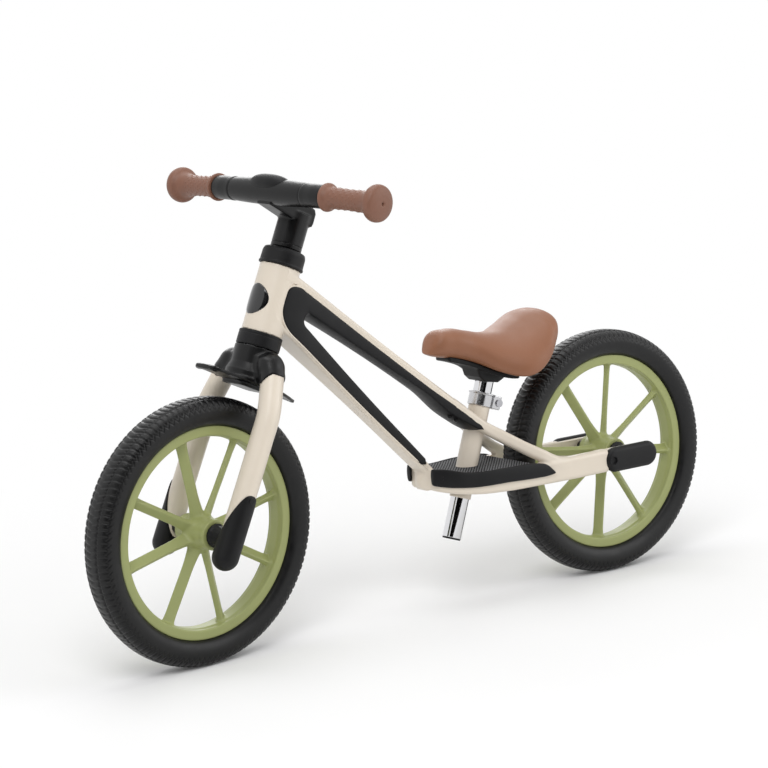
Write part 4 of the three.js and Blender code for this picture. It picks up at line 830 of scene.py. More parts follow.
        # A band wave at scale 1 repeats every pi / 10, or 0.314.
        scale = 0.314 / (self.grain * MM)
        ridges = []
        for slant in (48, -48):
            turned = add_node(tree, "Mapping", Vector=place, Rotation=(0, 0, math.radians(slant)))
            wave = add_node(
                tree, "TexWave", {"wave_type": "BANDS", "bands_direction": "Y"},
                Vector=turned.outputs["Vector"], Scale=scale, Distortion=0.0,
            )
            ridges.append(wave.outputs["Fac"])
        both = add_node(tree, "Math", {"operation": "MULTIPLY"}, _0=ridges[0], _1=ridges[1])
        stud = add_node(
            tree, "MapRange", Value=both.outputs[0], From_Min=0.22, From_Max=0.34,
        ).outputs["Result"]
        # Painted highlight: the studs' tops are mixed towards light grey, standing in for the light they
        # catch; the moulding between them keeps its own black.
        stud_highlight = add_node(
            tree, "Mix", {"data_type": "RGBA"}, Factor=stud, _6=colour, _7=linear(STUD_HIGHLIGHT),
        ).outputs[2]
        return stud_highlight, stud


# Powder-coated alloy: a deep even cream with a faint orange peel, 1.5 mm across.
CREAM = Finish(
    "powder_coated_alloy_cream", Slot.PAINT, "#ddd2c2", 0.36, Texture.SPRAYED, 1.5, 0.006, 0.03, coat=0.25,
)
# Moulded nylon: satin olive, with the fine spark-eroded grain of its mould.
OLIVE = Finish("moulded_nylon_olive", Slot.GREEN, "#999f66", 0.42, Texture.MOULDED, 0.7, 0.010, 0.05)
# Foamed EVA: solid black foam tyre, matte, scuffed grey where it meets the ground.
FOAM = Finish(
    "foamed_eva_black", Slot.TYRE, "#0a0a0b", 0.36, Texture.FOAMED, 0.9, 0.05, 0.10, 0.08, shine=0.34,
)
# Moulded polypropylene: black satin trim.
TRIM = Finish(
    "moulded_polypropylene_black", Slot.PLASTIC, "#0b0b0d", 0.50, Texture.MOULDED, 0.8, 0.012, 0.08,
    ior=1.4, shine=0.42,
)
# Powder-coated steel and alloy: the black stem, bar and crown, a little glossier than the trim.
BLACK_PAINT = Finish(
    "powder_coated_alloy_black", Slot.PLASTIC, "#09090a", 0.33, Texture.SPRAYED, 1.2, 0.006, 0.06,
    shine=0.32,
)
# The footrest's black moulding, with a light grey painted on its raised studs as their highlight. They
# are drawn 3 mm apart, coarser than the real ones, so that they show.
TREADPLATE = Finish(
    "moulded_polypropylene_studded", Slot.PLASTIC, "#060607", 0.75, Texture.GRATED, 3.0, 0.8, 0.08,
    ior=1.3, shine=0.3,
)
# Vinyl over foam: tan, with pebbles about 1.1 mm across.
VINYL = Finish("embossed_vinyl_tan", Slot.VINYL, "#8f5e42", 0.45, Texture.LEATHER, 1.1, 0.035, 0.05)
# Thermoplastic rubber: the tan grips, matte.
RUBBER = Finish("moulded_rubber_tan", Slot.GRIP, "#7d5543", 0.5, Texture.MOULDED, 0.9, 0.02, 0.06)
# Chromed steel tube: near mirror, with the faintest lines of polishing.
CHROME = Finish(
    "chromed_steel", Slot.CHROME, "#dcdcde", 0.07, Texture.PLATED, 2.0, 0.001, 0.02, 0.02, metallic=1.0,
)
# Tumbled die-cast alloy: bright, softly uneven.
CAST = Finish(
    "tumbled_cast_alloy", Slot.CAST, "#c9c9cb", 0.24, Texture.CAST, 1.4, 0.03, 0.08, 0.06, metallic=1.0,
)
# Zinc-plated steel: fasteners and bearings.
ZINC = Finish(
    "zinc_plated_steel", Slot.ZINC, "#b4b4b8", 0.30, Texture.PLATED, 1.0, 0.004, 0.06, metallic=1.0,
)
# Doming resin over black card: the plain badge.
RESIN = Finish(
    "doming_resin_black", Slot.PLASTIC, "#0e0e0f", 0.14, Texture.PLATED, 3.0, 0.002, 0.04, coat=0.6,
)


# -------------------------------- Wheels


def zigzag(phase: Array) -> Array:
    """A wave of straight lines: from 1 down to 0 and back once for each whole number of phase."""
    return np.abs((phase % 1) - 0.5) * 2


def valley(off: Array, width: float) -> Array:
    """A groove's share of its depth at a distance from its middle: 1 - (off / width)^2, or 0."""
    return 1 - np.clip(np.abs(off) / width, 0, 1) ** 2


@dataclass(frozen=True)
class Tread:
    """The pattern cut into a tyre. Places across it run from -1 to 1 over its crown."""

    pitches: int = 118
    depth: float = 1.25
    shallow: float = 0.8
    chevron_slant: float = 0.9
    chevron_width: float = 0.42
    chevron_edge: float = 0.62
    ring_at: float = 0.30
    ring_sway: float = 0.08
    ring_width: float = 0.06
    sipe_width: float = 0.34
    sipe_from: float = 0.5
    wall_edge: float = 1.02
    lace_at: float = 1.04
    lace_sway: float = 0.28
    lace_width: float = 0.055
    lace_depth: float = 0.55

    def cut(self, turn: Array, across: Array) -> Array:
        """Depth of the tread.

        Chevrons point forwards at the middle: their phase is the angle times the number of
        pitches, plus a slant times the distance from the middle. A wavy ring runs inside each
        shoulder, sipes cut the shoulder between the chevrons, and a zigzag line is drawn on the
        wall.

        Args:
            turn: angle round the tyre.
            across: place across it.

        Returns:
            The depth in millimetres, the deepest of the cuts at each place.
        """
        side = np.abs(across)
        share = turn * self.pitches / (2 * np.pi)
        middle = np.clip((self.chevron_edge - side) / 0.08, 0, 1)
        shoulder = np.clip((side - self.sipe_from) / 0.1, 0, 1)
        wall = np.clip((self.wall_edge - side) / 0.12, 0, 1)
        chevron = middle * valley(zigzag(share + self.chevron_slant * side), self.chevron_width)
        ring = valley(side - self.ring_at - self.ring_sway * zigzag(share * 2), self.ring_width)
        sipe = shoulder * valley(zigzag(share + 0.5), self.sipe_width)
        lace = valley(side - self.lace_at - self.lace_sway * (zigzag(share) - 0.5), self.lace_width)
        return self.depth * np.maximum.reduce([
            wall * chevron * self.shallow, wall * ring, wall * sipe * self.shallow, lace * self.lace_depth,
        ])


@dataclass
class Wheel:
    """A foam tyre on a moulded wheel whose eight spokes stand in pairs."""

    end: str
    first_pair: float
    tyre_radius: float = 147.0
    tyre_width: float = 39.4
    tyre_squareness: float = 0.86
    tread: Tread = Tread()
    rim_radius: float = 117.0
    rim_width: float = 24.0
    rim_inner: float = 105.5
    hub_radius: float = 16.8
    hub_width: float = 49.0
    hub_swell: float = 2.2
    bore_radius: float = 11.4
    bore_depth: float = 8.0
    spoke_width: float = 11.6
    spoke_thickness: float = 6.4
    spoke_splay: float = 20.6
    spoke_tilt: float = 45.0
    root_flare: float = 3.4
    tip_flare: float = 1.6

    @property
    def axes(self) -> Axes:
        """The wheel's own axes."""
        return wheel_axes(f"{self.end}_wheel_spin")

    @property
    def body(self) -> str:
        """The body that the wheel is."""
        return f"{self.end}_wheel"

    def section(self) -> tuple[Array, Array, float]:
        """The tyre's section, a squared oval.

        Its crown is (bulge + height s(sin a), half width s(cos a)), where s keeps the sign and
        raises the size to `tyre_squareness`; each wall is a quarter oval down to the rim, and a
        flat foot sits in it.

        Returns:
            Points (radius, side), their places across the tread, and the radius of the bulge.
        """
        bulge = self.rim_radius + 0.53 * (self.tyre_radius - self.rim_radius)
        half, seat = self.tyre_width / 2, self.rim_width / 2
        crown = np.radians(np.linspace(0, 180, 63))
        radius = bulge + (self.tyre_radius - bulge) * softened(np.sin(crown), self.tyre_squareness)
        side = half * softened(np.cos(crown), self.tyre_squareness)
        wall = np.radians(np.linspace(90, 6, 12))
        wall_radius = bulge - (bulge - self.rim_radius - 0.3) * np.sin(wall)
        wall_side = seat + (half - seat) * np.cos(wall)
        foot_radius, foot_half = self.rim_radius - 4.6, 7.6
        points = np.concatenate([
            np.stack([wall_radius, wall_side], axis=1),
            np.stack([radius, side], axis=1),
            np.stack([wall_radius, -wall_side], axis=1)[::-1],
            [[foot_radius, -foot_half], [foot_radius, foot_half]],
        ])
        # The crown's ends are a little past the tread's; walls and foot lie well outside it.
        across = np.full(len(points), 2.0)
        across[len(wall):len(wall) + len(crown)] = np.linspace(1.25, -1.25, len(crown))
        return points, across, bulge

    def tyre(self) -> Shell:
        """The tyre: its section turned about the axle, each point moved in by the tread's depth.

        Returns:
            The tyre's skin.
        """
        profile, across, bulge = self.section()
        turns = full_turn(1080)
        depth = self.tread.cut(turns[:, None], across[None, :])
        inward = np.array([bulge - 2, 0.0]) - profile
        inward /= np.linalg.norm(inward, axis=1)[:, None]
        r = profile[None, :, 0] + depth * inward[None, :, 0]
        y = profile[None, :, 1] + depth * inward[None, :, 1]
        rows = np.stack([r * np.cos(turns)[:, None], y, r * np.sin(turns)[:, None]], axis=-1)
        skin = grid_skin(rows, closed_rows=True)
        # Rings about y turn the other way from rings about z.
        return Shell(skin.points, skin.faces[:, ::-1])

    def spoke(self, x: Array, y: Array, z: Array, angle: float, lean: float) -> Array:
        """Distance to a spoke: a rounded bar, tilted about its length, wider at both its ends.

        Args:
            x, y, z: places in the wheel's axes.
            angle: the spoke's direction round the axle.
            lean: the tilt of its flat.

        Returns:
            The distance, negative inside.
        """
        along = x * math.cos(angle) + z * math.sin(angle)
        off = z * math.cos(angle) - x * math.sin(angle)
        flat = off * math.cos(lean) + y * math.sin(lean)
        thin = y * math.cos(lean) - off * math.sin(lean)
        root = np.clip((45 - along) / 34, 0, 1)
        tip = np.clip((along - 92) / 16, 0, 1)
        wide = self.spoke_width / 2 + self.root_flare * root ** 2 + self.tip_flare * tip ** 2
        deep = self.spoke_thickness / 2 + 0.8 * root + 0.6 * tip
        return np.maximum(bar(flat, thin, wide, deep, 1.7), between(along, 8, self.rim_inner + 4))

    def moulding(self, x: Array, y: Array, z: Array) -> Array:
        """Distance to the rim, hub and spokes, filleted together.

        The rim is two turned rounded bars, one inside the other, and the hub a turned barrel.

        Args:
            x, y, z: places in the wheel's axes.

        Returns:
            The distance, negative inside.
        """
        r = np.hypot(x, z)
        middle = (self.rim_radius + self.rim_inner) / 2
        half = self.rim_width / 2
        rim = bar(r - middle, y, (self.rim_radius - self.rim_inner) / 2, half, 1.8)
        rim = smooth_union(rim, bar(r - self.rim_inner - 1, y, 2.2, half * 0.62, 2.0), 2.0)
        barrel = self.hub_radius + self.hub_swell * np.clip(1 - (y / 17) ** 2, 0, 1)
        hub = pillow(r - barrel, np.abs(y) - self.hub_width / 2, 1.6)
        spokes = None
        for pair in range(4):
            for side in (1, -1):
                lean = math.radians(self.spoke_tilt) * side * (1 if pair % 2 == 0 else -1)
                angle = math.radians(self.first_pair + 90 * pair) + side * math.radians(self.spoke_splay)
                spoke = self.spoke(x, y, z, angle, lean)
                spokes = spoke if spokes is None else smooth_union(spokes, spoke, 4.0)
        body = smooth_union(smooth_union(spokes, hub, 5.0), rim, 3.2)
        bore = np.maximum(r - self.bore_radius, self.hub_width / 2 - self.bore_depth - np.abs(y))
        return np.maximum(body, -bore)

    def build(self) -> None:
        """Makes the tyre and the moulding."""
        tyre = self.tyre().placed(self.axes)
        make_piece(f"{self.end}_foam_tyre", tyre, self.body, [f"{self.end}_tyre"], FOAM)
        reach, wide = self.rim_radius + 2, self.hub_width / 2 + 2
        wheel = skin_of(self.moulding, (-reach, -wide, -reach), (reach, wide, reach), 1.25).placed(self.axes)
        make_piece(f"{self.end}_moulded_wheel", wheel, self.body, [f"{self.end}_wheel"], OLIVE)


# -------------------------------- Fork


@dataclass
class Fork:
    """The fork: crown, two legs with boots, stem, bar, pad and grips, all turning together.

    Heights are along the steering axis from the axle's level; x is behind that axis.
    """

    crown_base: float = 162.5
    visor_base: float = 167.5
    visor_front: float = -66.0
    visor_tail: float = 71.0
    visor_half: float = 1.7
    collar_base: float = 179.5
    collar_top: float = 206.9
    collar_radius: float = 24.4
    skirt_flare: float = 2.9
    dome_height: float = 192.0
    dome_radius: float = 14.8
    leg_radius: float = 12.7
    leg_spread: float = 51.2
    leg_top: float = 184.5
    leg_tail: float = 20.0
    leg_lean: float = 15.5
    boot_wall: float = 1.9
    boot_rise: float = 56.0
    boot_slant: tuple[float, float] = (94.0, 38.0)
    stem_base: float = 320.3
    stem_top: float = 353.8
    stem_radius: float = 17.3
    bar_forward: float = 42.0
    bar_height: float = 372.5
    bar_radius: float = 12.6
    bar_swell: float = 1.9
    bar_seam: float = 58.6
    bar_end: float = 164.0
    bar_core: float = 9.0
    bar_bend: float = 76.0
    bar_sweep: float = 4.6
    pad_size: tuple[float, float, float] = (14.0, 29.5, 11.0)
    grip_start: float = 89.0
    grip_length: float = 82.0
    stud_first: float = 14.0
    stud_step: float = 4.6
    stud_rows: int = 9
    studs_round: int = 12
    stud_radius: float = 1.25
    stud_height: float = 0.55

    def leg_x(self, height: Array | float) -> Array | float:
        """How far behind the steering axis a leg's middle stands."""
        return -5.4 + 0.024 * height

    def leg_y(self, height: Array) -> Array:
        """A leg's middle from the fork's: upright below, leaning in to the crown above.

        Args:
            height: where along the leg.

        Returns:
            The distance to one side.
        """
        bend = self.crown_base - 24
        knots = [-40, bend * 0.8, bend, (bend + self.leg_top) / 2, self.leg_top, self.leg_top + 12]
        return curve(height, knots, self.leg_spread - self.leg_lean * np.array([0, 0, 0.04, 0.45, 1, 1.55]))

    def leg(self) -> Shell:
        """The left leg: a round tube carried along its bent middle line.

        Returns:
            The leg's skin.
        """
        height = np.linspace(-self.leg_tail, self.leg_top, 90)
        path = np.stack([self.leg_x(height), -self.leg_y(height), height], axis=1)
        return tube_skin(path, self.leg_radius, 56)

    def boot(self, x: Array, y: Array, z: Array) -> Array:
        """Distance to the left boot: a round-ended sleeve on the leg's foot, cut on a slant.

        The slant passes 18 mm inside the leg's middle at the foot, and outside it at the top.

        Args:
            x, y, z: places in the fork's axes.

        Returns:
            The distance, negative inside.
        """
        middle = np.hypot(x - self.leg_x(z), y + self.leg_spread)
        below = np.maximum(-self.leg_tail - z, 0)
        sleeve = np.hypot(middle, below) - self.leg_radius - self.boot_wall
        top = z - self.boot_rise + 0.06 * np.maximum(middle - 4, 0) ** 2
        sleeve = pillow(sleeve, top, 3.0)
        out, up = self.boot_slant
        slant = ((y + self.leg_spread - 18) * out + (z + self.leg_tail + 6) * up) / math.hypot(out, up)
        return pillow(sleeve, slant, 1.6)

    def visor(self, x: Array, y: Array, z: Array) -> Array:
        """Distance to the flap above the tyre.

        It is a thin plate whose half width follows a curve from its lip to its tail, drooping by
        a parabola behind the axis, with a round lip along its front.

        Args:
            x, y, z: places in the fork's axes.

        Returns:
            The distance, negative inside.
        """
        side = np.abs(y)
        knots = [self.visor_front, -63, -45, -10, 5, 40, self.visor_tail]
        half = curve(x, knots, [12, 15.5, 20.5, 25, 25, 17, 2.2])
        sheet = z - self.visor_base - 2 + 0.0006 * np.maximum(x, 0) ** 2
        length = between(x, self.visor_front, self.visor_tail)
        plate = pillow(side - half, np.maximum(np.abs(sheet) - self.visor_half, length), 1.0)
        lip = bar(x - self.visor_front - 3.5 - 0.012 * y * y, sheet, 3.4, 3.1, 3.0)
        return smooth_union(plate, np.maximum(lip, side - 14.5), 2.5)

    def crown(self, x: Array, y: Array, z: Array) -> Array:
        """Distance to the crown: a flared collar, a shoulder over each leg, and the flap.

        The collar is a turned section; a shoulder is a round-topped tube along the leg, arched
        inside, under a dome; a bridge and a keel tie them together, and each leg has its socket.

        Args:
            x, y, z: places in the fork's axes.

        Returns:
            The distance, negative inside.
        """
        r = np.hypot(x, y)
        side = np.abs(y)
        leg_x, leg_y = self.leg_x(z), self.leg_y(z)
        rising = np.clip((z - self.collar_base) / 9, 0, 1) ** 0.8
        skirt = self.collar_radius + self.skirt_flare * (1 - rising)
        collar = pillow(r - skirt, between(z, self.visor_base, self.collar_top), 0.8)
        tube = np.hypot((side - leg_y) * 0.93, x - leg_x) - self.leg_radius - 1.6
        dome_x, dome_y = self.leg_x(self.dome_height), self.leg_y(np.array(self.dome_height))
        dome = np.hypot(np.hypot(side - dome_y, x - dome_x), z - self.dome_height + 2) - self.dome_radius
        rise = 13 * np.clip((side - leg_y + 3) / 14, 0, 1)
        arch = between(z, self.visor_base + 1 + rise, self.dome_height + 4)
        shoulder = smooth_union(pillow(tube, arch, 2.0), dome, 4.0)
        bridge = pillow(bar(x - leg_x, side, 11.5, 34, 5), between(z, 172, 197), 3.0)
        keel = pillow(bar(x + 1, y, 21, 18, 4), between(z, self.crown_base, self.visor_base + 1), 1.5)
        body = smooth_union(collar, shoulder, 6.0)
        for part, blend in ((bridge, 5.0), (self.visor(x, y, z), 4.0), (keel, 2.0)):
            body = smooth_union(body, part, blend)
        socket = np.maximum(np.hypot(side - leg_y, x - leg_x) - self.leg_radius - 0.3, z - self.leg_top)
        return np.maximum(body, -socket)

    def stem(self, x: Array, y: Array, z: Array) -> Array:
        """Distance to the stem: a grooved sleeve under a block that reaches forward to the bar.

        The block is its side outline carried across, a little narrower towards the bar.

        Args:
            x, y, z: places in the fork's axes.

        Returns:
            The distance, negative inside.
        """
        off = np.hypot(x, y) - self.stem_radius
        sleeve = pillow(off, between(z, self.stem_base, self.stem_top + 8), 1.0)
        groove = np.hypot(off, z - self.stem_base - 5) - 0.5
        sleeve = np.maximum(sleeve, -groove)
        top, rise, reach = self.stem_top, self.bar_height, -self.bar_forward
        side = np.array([
            [14, top - 3], [16.6, top - 1.8], [17.6, top + 2], [17.4, top + 13], [14.5, top + 17.5],
            [8, top + 19], [reach + 2, rise + 9.5], [reach - 8, rise - 3], [reach - 6, rise - 15.5],
            [-16, top - 1],
        ])
        half = 14 - 0.05 * np.clip(-x - 10, 0, 40)
        block = pillow(outline_distance(x, z, side), np.abs(y) - half, 2.6)
        return smooth_union(sleeve, block, 2.5)

    def handlebar(self) -> Shell:
        """The bar: thick in the middle, a seam near each end of its body, bare ends swept back.

        Its radius is a parabola over the middle, less a bell at the seam, plus a cuff beyond it,
        down to the bare core inside the grips.

        Returns:
            The bar's skin.
        """
        end, fine = self.bar_end, 59.6
        y = np.concatenate([
            np.linspace(-end, -60, 70), np.linspace(-fine, fine, 140), np.linspace(60, end, 70),
        ])
        side = np.abs(y)
        x = -self.bar_forward + np.maximum(0, side - self.bar_bend) * math.tan(math.radians(self.bar_sweep))
        body = self.bar_radius + self.bar_swell * np.clip(1 - (side / 66) ** 2, 0, 1)
        core = np.clip((side - self.grip_start + 0.6) / 0.5, 0, 1)
        seam = 0.55 * np.exp(-(((side - self.bar_seam) / 0.55) ** 2))
        cuff = 0.5 * np.clip((side - self.bar_seam - 0.2) / 1.2, 0, 1) * (1 - core)
        radius = (body - seam + cuff) * (1 - core) + self.bar_core * core
        path = np.stack([x, y, np.full_like(y, self.bar_height)], axis=1)
        return tube_skin(path, radius, 64)

    def pad(self, x: Array, y: Array, z: Array) -> Array:
        """Distance to the smooth cap on the bar: (|x|/a)^2.2 + (|y|/b)^2.4 + (|z|/c)^2.2 = 1.

        Args:
            x, y, z: places in the fork's axes.

        Returns:
            About the distance, negative inside.
        """
        a, b, c = self.pad_size
        foot = self.bar_height + 7
        share = (
            np.abs((x + self.bar_forward + 3.5) / a) ** 2.2
            + np.abs(y / b) ** 2.4
            + np.abs((z - foot) / c) ** 2.2
        )
        return (share ** (1 / 2.6) - 1) * 10

    def grip(self) -> Shell:
        """The left grip, turned about the bar's end, with rows of small domes on it.

        Its radius is the profile's plus the highest of the domes there: each is a parabola
        about a point of a staggered lattice.

        Returns:
            The grip's skin.
        """
        end = self.grip_length
        profile = eased([
            (9.2, 0), (15.2, 0), (15.6, 2.2), (14.6, 5.0), (11.6, 8.5), (11.0, 34), (11.8, end - 24),
            (14.2, end - 17), (19.4, end - 13.6), (20.3, end - 8.5), (18.6, end - 3.4), (11, end - 0.9),
            (1.7, end - 0.2), (1.5, end - 3), (0.4, end - 3),
        ], 3.0, 7)
        lengths = np.concatenate([[0], np.cumsum(np.linalg.norm(np.diff(profile, axis=0), axis=1))])
        places = np.linspace(0, lengths[-1], 190)
        profile = np.stack([np.interp(places, lengths, profile[:, i]) for i in (0, 1)], axis=1)
        turn = full_turn(144)
        along = profile[:, 1, None]
        row = np.round((along - self.stud_first) / self.stud_step)
        phase = turn[None, :] * self.studs_round / (2 * np.pi) + 0.5 * (row % 2)
        off = (phase - np.round(phase)) * 2 * np.pi * 11.5 / self.studs_round
        dome = 1 - (off ** 2 + (along - self.stud_first - row * self.stud_step) ** 2) / self.stud_radius ** 2
        dome *= ((row >= 0) & (row < self.stud_rows)) & (along < end - 18)
        radius = profile[:, 0, None] + self.stud_height * np.clip(dome, 0, 1) ** 0.7
        rows = np.stack(np.broadcast_arrays(radius * np.cos(turn), radius * np.sin(turn), along), axis=-1)
        sweep = math.radians(self.bar_sweep)
        start = -self.bar_forward + (self.grip_start - self.bar_bend) * math.tan(sweep)
        way = np.array([math.sin(sweep), -math.cos(sweep), 0.0])
        return grid_skin(rows).placed(axes_along((start, -self.grip_start, self.bar_height), way))

    def build(self) -> None:
        """Makes every piece of the fork."""
        crown = skin_of(self.crown, (-72, -60, 158), (76, 60, 212), 1.0)
        make_piece("fork_crown_casting", crown.placed(FORK), "fork", ["fork_crown"], BLACK_PAINT)
        stem = skin_of(self.stem, (-58, -21, 317), (21, 21, 388), 0.8)
        make_piece("stem_casting", stem.placed(FORK), "fork", ["stem"], BLACK_PAINT)
        make_piece("handlebar_tube", self.handlebar().placed(FORK), "fork", ["handlebar"], BLACK_PAINT)
        pad = skin_of(self.pad, (-66, -31, 368), (-30, 31, 394), 0.7)
        make_piece("handlebar_cap", pad.placed(FORK), "fork", ["handlebar_pad"], TRIM)
        parts = {
            "fork_leg": (self.leg(), CREAM, "tube"),
            "leg_cover": (skin_of(self.boot, (-24, -69, -37), (16, -30, 60), 0.8), TRIM, "boot"),
            "grip": (self.grip(), RUBBER, "sleeve"),
        }
        for side in ("left", "right"):
            for node, (shell, finish, word) in parts.items():
                shell = shell if side == "left" else shell.mirrored()
                make_piece(f"{side}_{node}_{word}", shell.placed(FORK), "fork", [f"{side}_{node}"], finish)


# -------------------------------- Frame


@dataclass
class Head:
    """The head tube's trim: the two black cups and the badge. Heights are along the steering axis."""

    bore: float = 13.2
    cup_base: float = 207.6
    cup_top: float = 223.7
    cap_base: float = 300.1
    cap_top: float = 319.7
    radius: float = 24.3
    badge_middle: float = 257.9
    badge_half: float = 17.4
    badge_seat: float = 22.4
    badge_edge: float = 22.75
    badge_dome: float = 0.95

    def badge(self) -> Shell:
        """The badge, a plain domed oval bent round the head tube.

        Rings of one oval run out over the front and back behind it. A point at share s of the
        oval's half width is on a circle about the steering axis of radius
        edge + dome sqrt(1 - s^6).

        Returns:
            The badge's skin.
        """
        front = np.linspace(0.02, 1, 16)
        share = np.concatenate([front, np.linspace(1, 0.02, 4)])
        dome = self.badge_edge + self.badge_dome * np.sqrt(1 - front ** 6)
        radius = np.concatenate([dome, np.full(4, self.badge_seat)])
        turn = full_turn(72)
        y = self.badge_half * share[:, None] * np.cos(turn)
        height = self.badge_middle + self.badge_half * share[:, None] * np.sin(turn)
        x = -np.sqrt(radius[:, None] ** 2 - y ** 2)
        return grid_skin(np.stack([x, y, height], axis=-1))

    def build(self) -> None:
        """Makes the cups and the badge."""
        r, bore = self.radius, self.bore
        low, high = self.cup_base, self.cup_top
        cup = eased([
            (bore, low), (r - 0.6, low), (r, low + 1.2), (r, high - 4),
            (r - 0.35, high - 3.4), (r, high - 2.8), (r, high), (bore, high),
        ], 0.8)
        low, high = self.cap_base, self.cap_top
        cap = eased([
            (bore, low), (r + 0.6, low), (r + 0.7, low + 2.2), (r - 0.1, low + 3.0),
            (r - 0.3, high - 5), (r - 1.8, high - 1), (r - 5.5, high), (bore, high),
        ], 1.6)
        make_piece("headset_cup", turned_skin(cup, 96).placed(HEAD), "frame", ["lower_headset_cup"], TRIM)
        make_piece("headset_cap", turned_skin(cap, 96).placed(HEAD), "frame", ["top_headset_cap"], TRIM)
        make_piece("plain_badge", self.badge().placed(HEAD), "frame", ["head_badge"], RESIN)


class Line:
    """A straight line in side view, with places counted along it and above it."""

    def __init__(self, start: Array, end: Array) -> None:
        """Works out the line's length and directions.

        Args:
            start, end: its ends, in the bike's axes.
        """
        self.start = start
        self.length = float(np.linalg.norm(end - start))
        self.way = unit(end - start)
        self.up = np.array([-self.way[2], 0, self.way[0]])

    def point(self, along: Array | float, up: Array | float) -> Array:
        """The points (x, z) at some distance along the line and above it.

        Args:
            along, up: the distances.

        Returns:
            The points.
        """
        along, up = np.broadcast_arrays(along, up)
        place = self.start + along[..., None] * self.way + up[..., None] * self.up
        return place[..., [0, 2]]

    def local(self, x: Array, z: Array) -> tuple[Array, Array]:
        """How far along the line and above it places (x, z) are."""
        dx, dz = x - self.start[0], z - self.start[2]
        return dx * self.way[0] + dz * self.way[2], dx * self.up[0] + dz * self.up[2]


@dataclass
class Frame:
    """The painted frame and the black mouldings let into it.

    The top beam runs from the head tube to the seat tube and splits into two stays; the down
    tube runs from the head tube to the front joint, where two arms start and run back past the
    rear wheel. One black liner lines both tubes and the window between them.
    """

    head_base: float = 223.9
    head_top: float = 299.9
    head_radius: float = 22.5
    head_half: float = 22.1
    waist_half: float = 13.5
    tube_corner: float = 4.6
    beam_leaves: float = 282.4
    beam_meets: float = 61.3
    beam_low: tuple[float, float] = (14.4, 6.6)
    beam_arch: float = 2.2
    split: float = 281.5
    down_leaves: float = 249.9
    down_foot: tuple[float, float] = (269.3, 16.4)
    down_low: tuple[float, float] = (12.0, 5.6)
    seat_radius: float = 12.5
    seat_span: tuple[float, float] = (-23.4, 101.4)
    stay_width: float = 13.0
    stay_foot: tuple[float, float] = (112.0, 8.0)
    arm_spread: float = 45.0
    arm_width: float = 14.0
    arm_end: float = 34.0
    plate_drop: float = 2.0
    nose_end: float = 10.9
    shoulder: float = 8.2
    sill: float = 3.0
    liner_end: float = 325.5
    liner_start: float = 20.0
    liner_front: float = 1.5
    liner_brow: float = 285.2
    liner_corner: float = 15.0
    liner_chin: float = 261.9
    liner_turn: float = 31.0
    liner_wall: float = 1.9
    liner_bed: float = 1.6
    window_at: float = 43.0
    stand: float = 0.45
    bead_radius: float = 0.95
    screws: tuple[tuple[float, float, float], ...] = ((50, -10, 223.6), (57, -12, 218.8))
    cover_length: float = 156.5
    capsule_half: tuple[float, float] = (25.2, 15.0)

    def __post_init__(self) -> None:
        """Works out the two tubes' lines, the arms' courses and the liner's outline."""
        self.beam_end = SEAT.origin + SEAT.z * self.beam_meets
        self.beam = Line(HEAD.origin + HEAD.z * self.beam_leaves, self.beam_end)
        ahead, rise = self.down_foot
        down_end = np.array([REAR_AXLE_X - ahead, 0, AXLE_HEIGHT + rise])
        self.down = Line(HEAD.origin + HEAD.z * self.down_leaves, down_end)
        shares = np.array([-0.015, 0.03, 0.09, 0.19, 0.34, 0.51, 0.67, 0.89])
        self.arm_x = self.nose_end + (REAR_AXLE_X - self.nose_end) * shares
        self.arm_y = np.array([8, 18.5, 28.5, 36.8, 43, 45, 45, 45.0])
        self.arm_z = AXLE_HEIGHT + np.array([12, 7.7, 3.4, -0.4, -2.5, -2.2, -2.2, -2])
        self.arm_half = 13.5 * np.array([0.93, 0.91, 0.89, 0.9, 0.89, 0.95, 1, 1])
        outer, inner, _ = self.liner_edges()
        self.liner_outline = np.concatenate([outer[:60:3], inner[:60:3][::-1]])

    def half_width(self, x: Array | float) -> Array:
        """The frame's half width seen from above: wide at the head, waisted, wide past the seat.

        Args:
            x: where along the bike.

        Returns:
            The half width.
        """
        span = self.beam_end[0] - self.beam.start[0]
        share = (x - self.beam.start[0]) / span
        seat_half = self.seat_radius + 0.3 + self.stay_width
        arm = self.arm_width / 2
        return curve(share, [0, 0.05, 0.15, 0.3, 0.6, 0.84, 1, 1.12, 1.25], [
            self.head_half, self.head_half, self.head_half - 3, self.waist_half + 1.6, self.waist_half,
            self.waist_half + 5.4, seat_half, self.arm_spread - arm, self.arm_spread + arm,
        ])

    def down_half_width(self, x: Array) -> Array:
        """The down tube's: as the frame's, but it stays slim below the waist, at 0.6 of the beam."""
        return self.half_width(np.minimum(x, self.beam.start[0] * 0.4 + self.beam_end[0] * 0.6))

    def beam_half(self, along: Array) -> Array:
        """Half the beam's height, tapering to where it splits."""
        front, back = self.beam_low
        return front + (back - front) * np.clip(along / self.split, 0, 1.2)

    def down_half(self, along: Array | float) -> Array:
        """Half the down tube's height, tapering to its foot."""
        top, foot = self.down_low
        return top + (foot - top) * np.clip(along / self.down.length, 0, 1)

    def arch(self, along: Array) -> Array:
        """The beam's rise above its straight line: 4 h s (1 - s)."""
        share = np.clip(along / self.beam.length, 0, 1)
        return 4 * self.beam_arch * share * (1 - share)

    def beam_point(self, along: Array | float, up: Array | float) -> Array:
        """The points (x, z) at some distance along the beam and above its arched middle."""
        return self.beam.point(along, up + self.arch(np.asarray(along)))

    def head_point(self, back: float, height: float) -> Array:
        """The point (x, z) behind the steering axis at a height along it."""
        return (HEAD.origin + HEAD.x * back + HEAD.z * height)[[0, 2]]

    @staticmethod
    def bend(a: Array, b: Array, c: Array, steps: int) -> Array:
        """Points on the curve a(1-t)^2 + 2bt(1-t) + ct^2, without its first."""
        t = np.linspace(0, 1, steps + 1)[1:, None]
        return a * (1 - t) ** 2 + 2 * b * t * (1 - t) + c * t ** 2

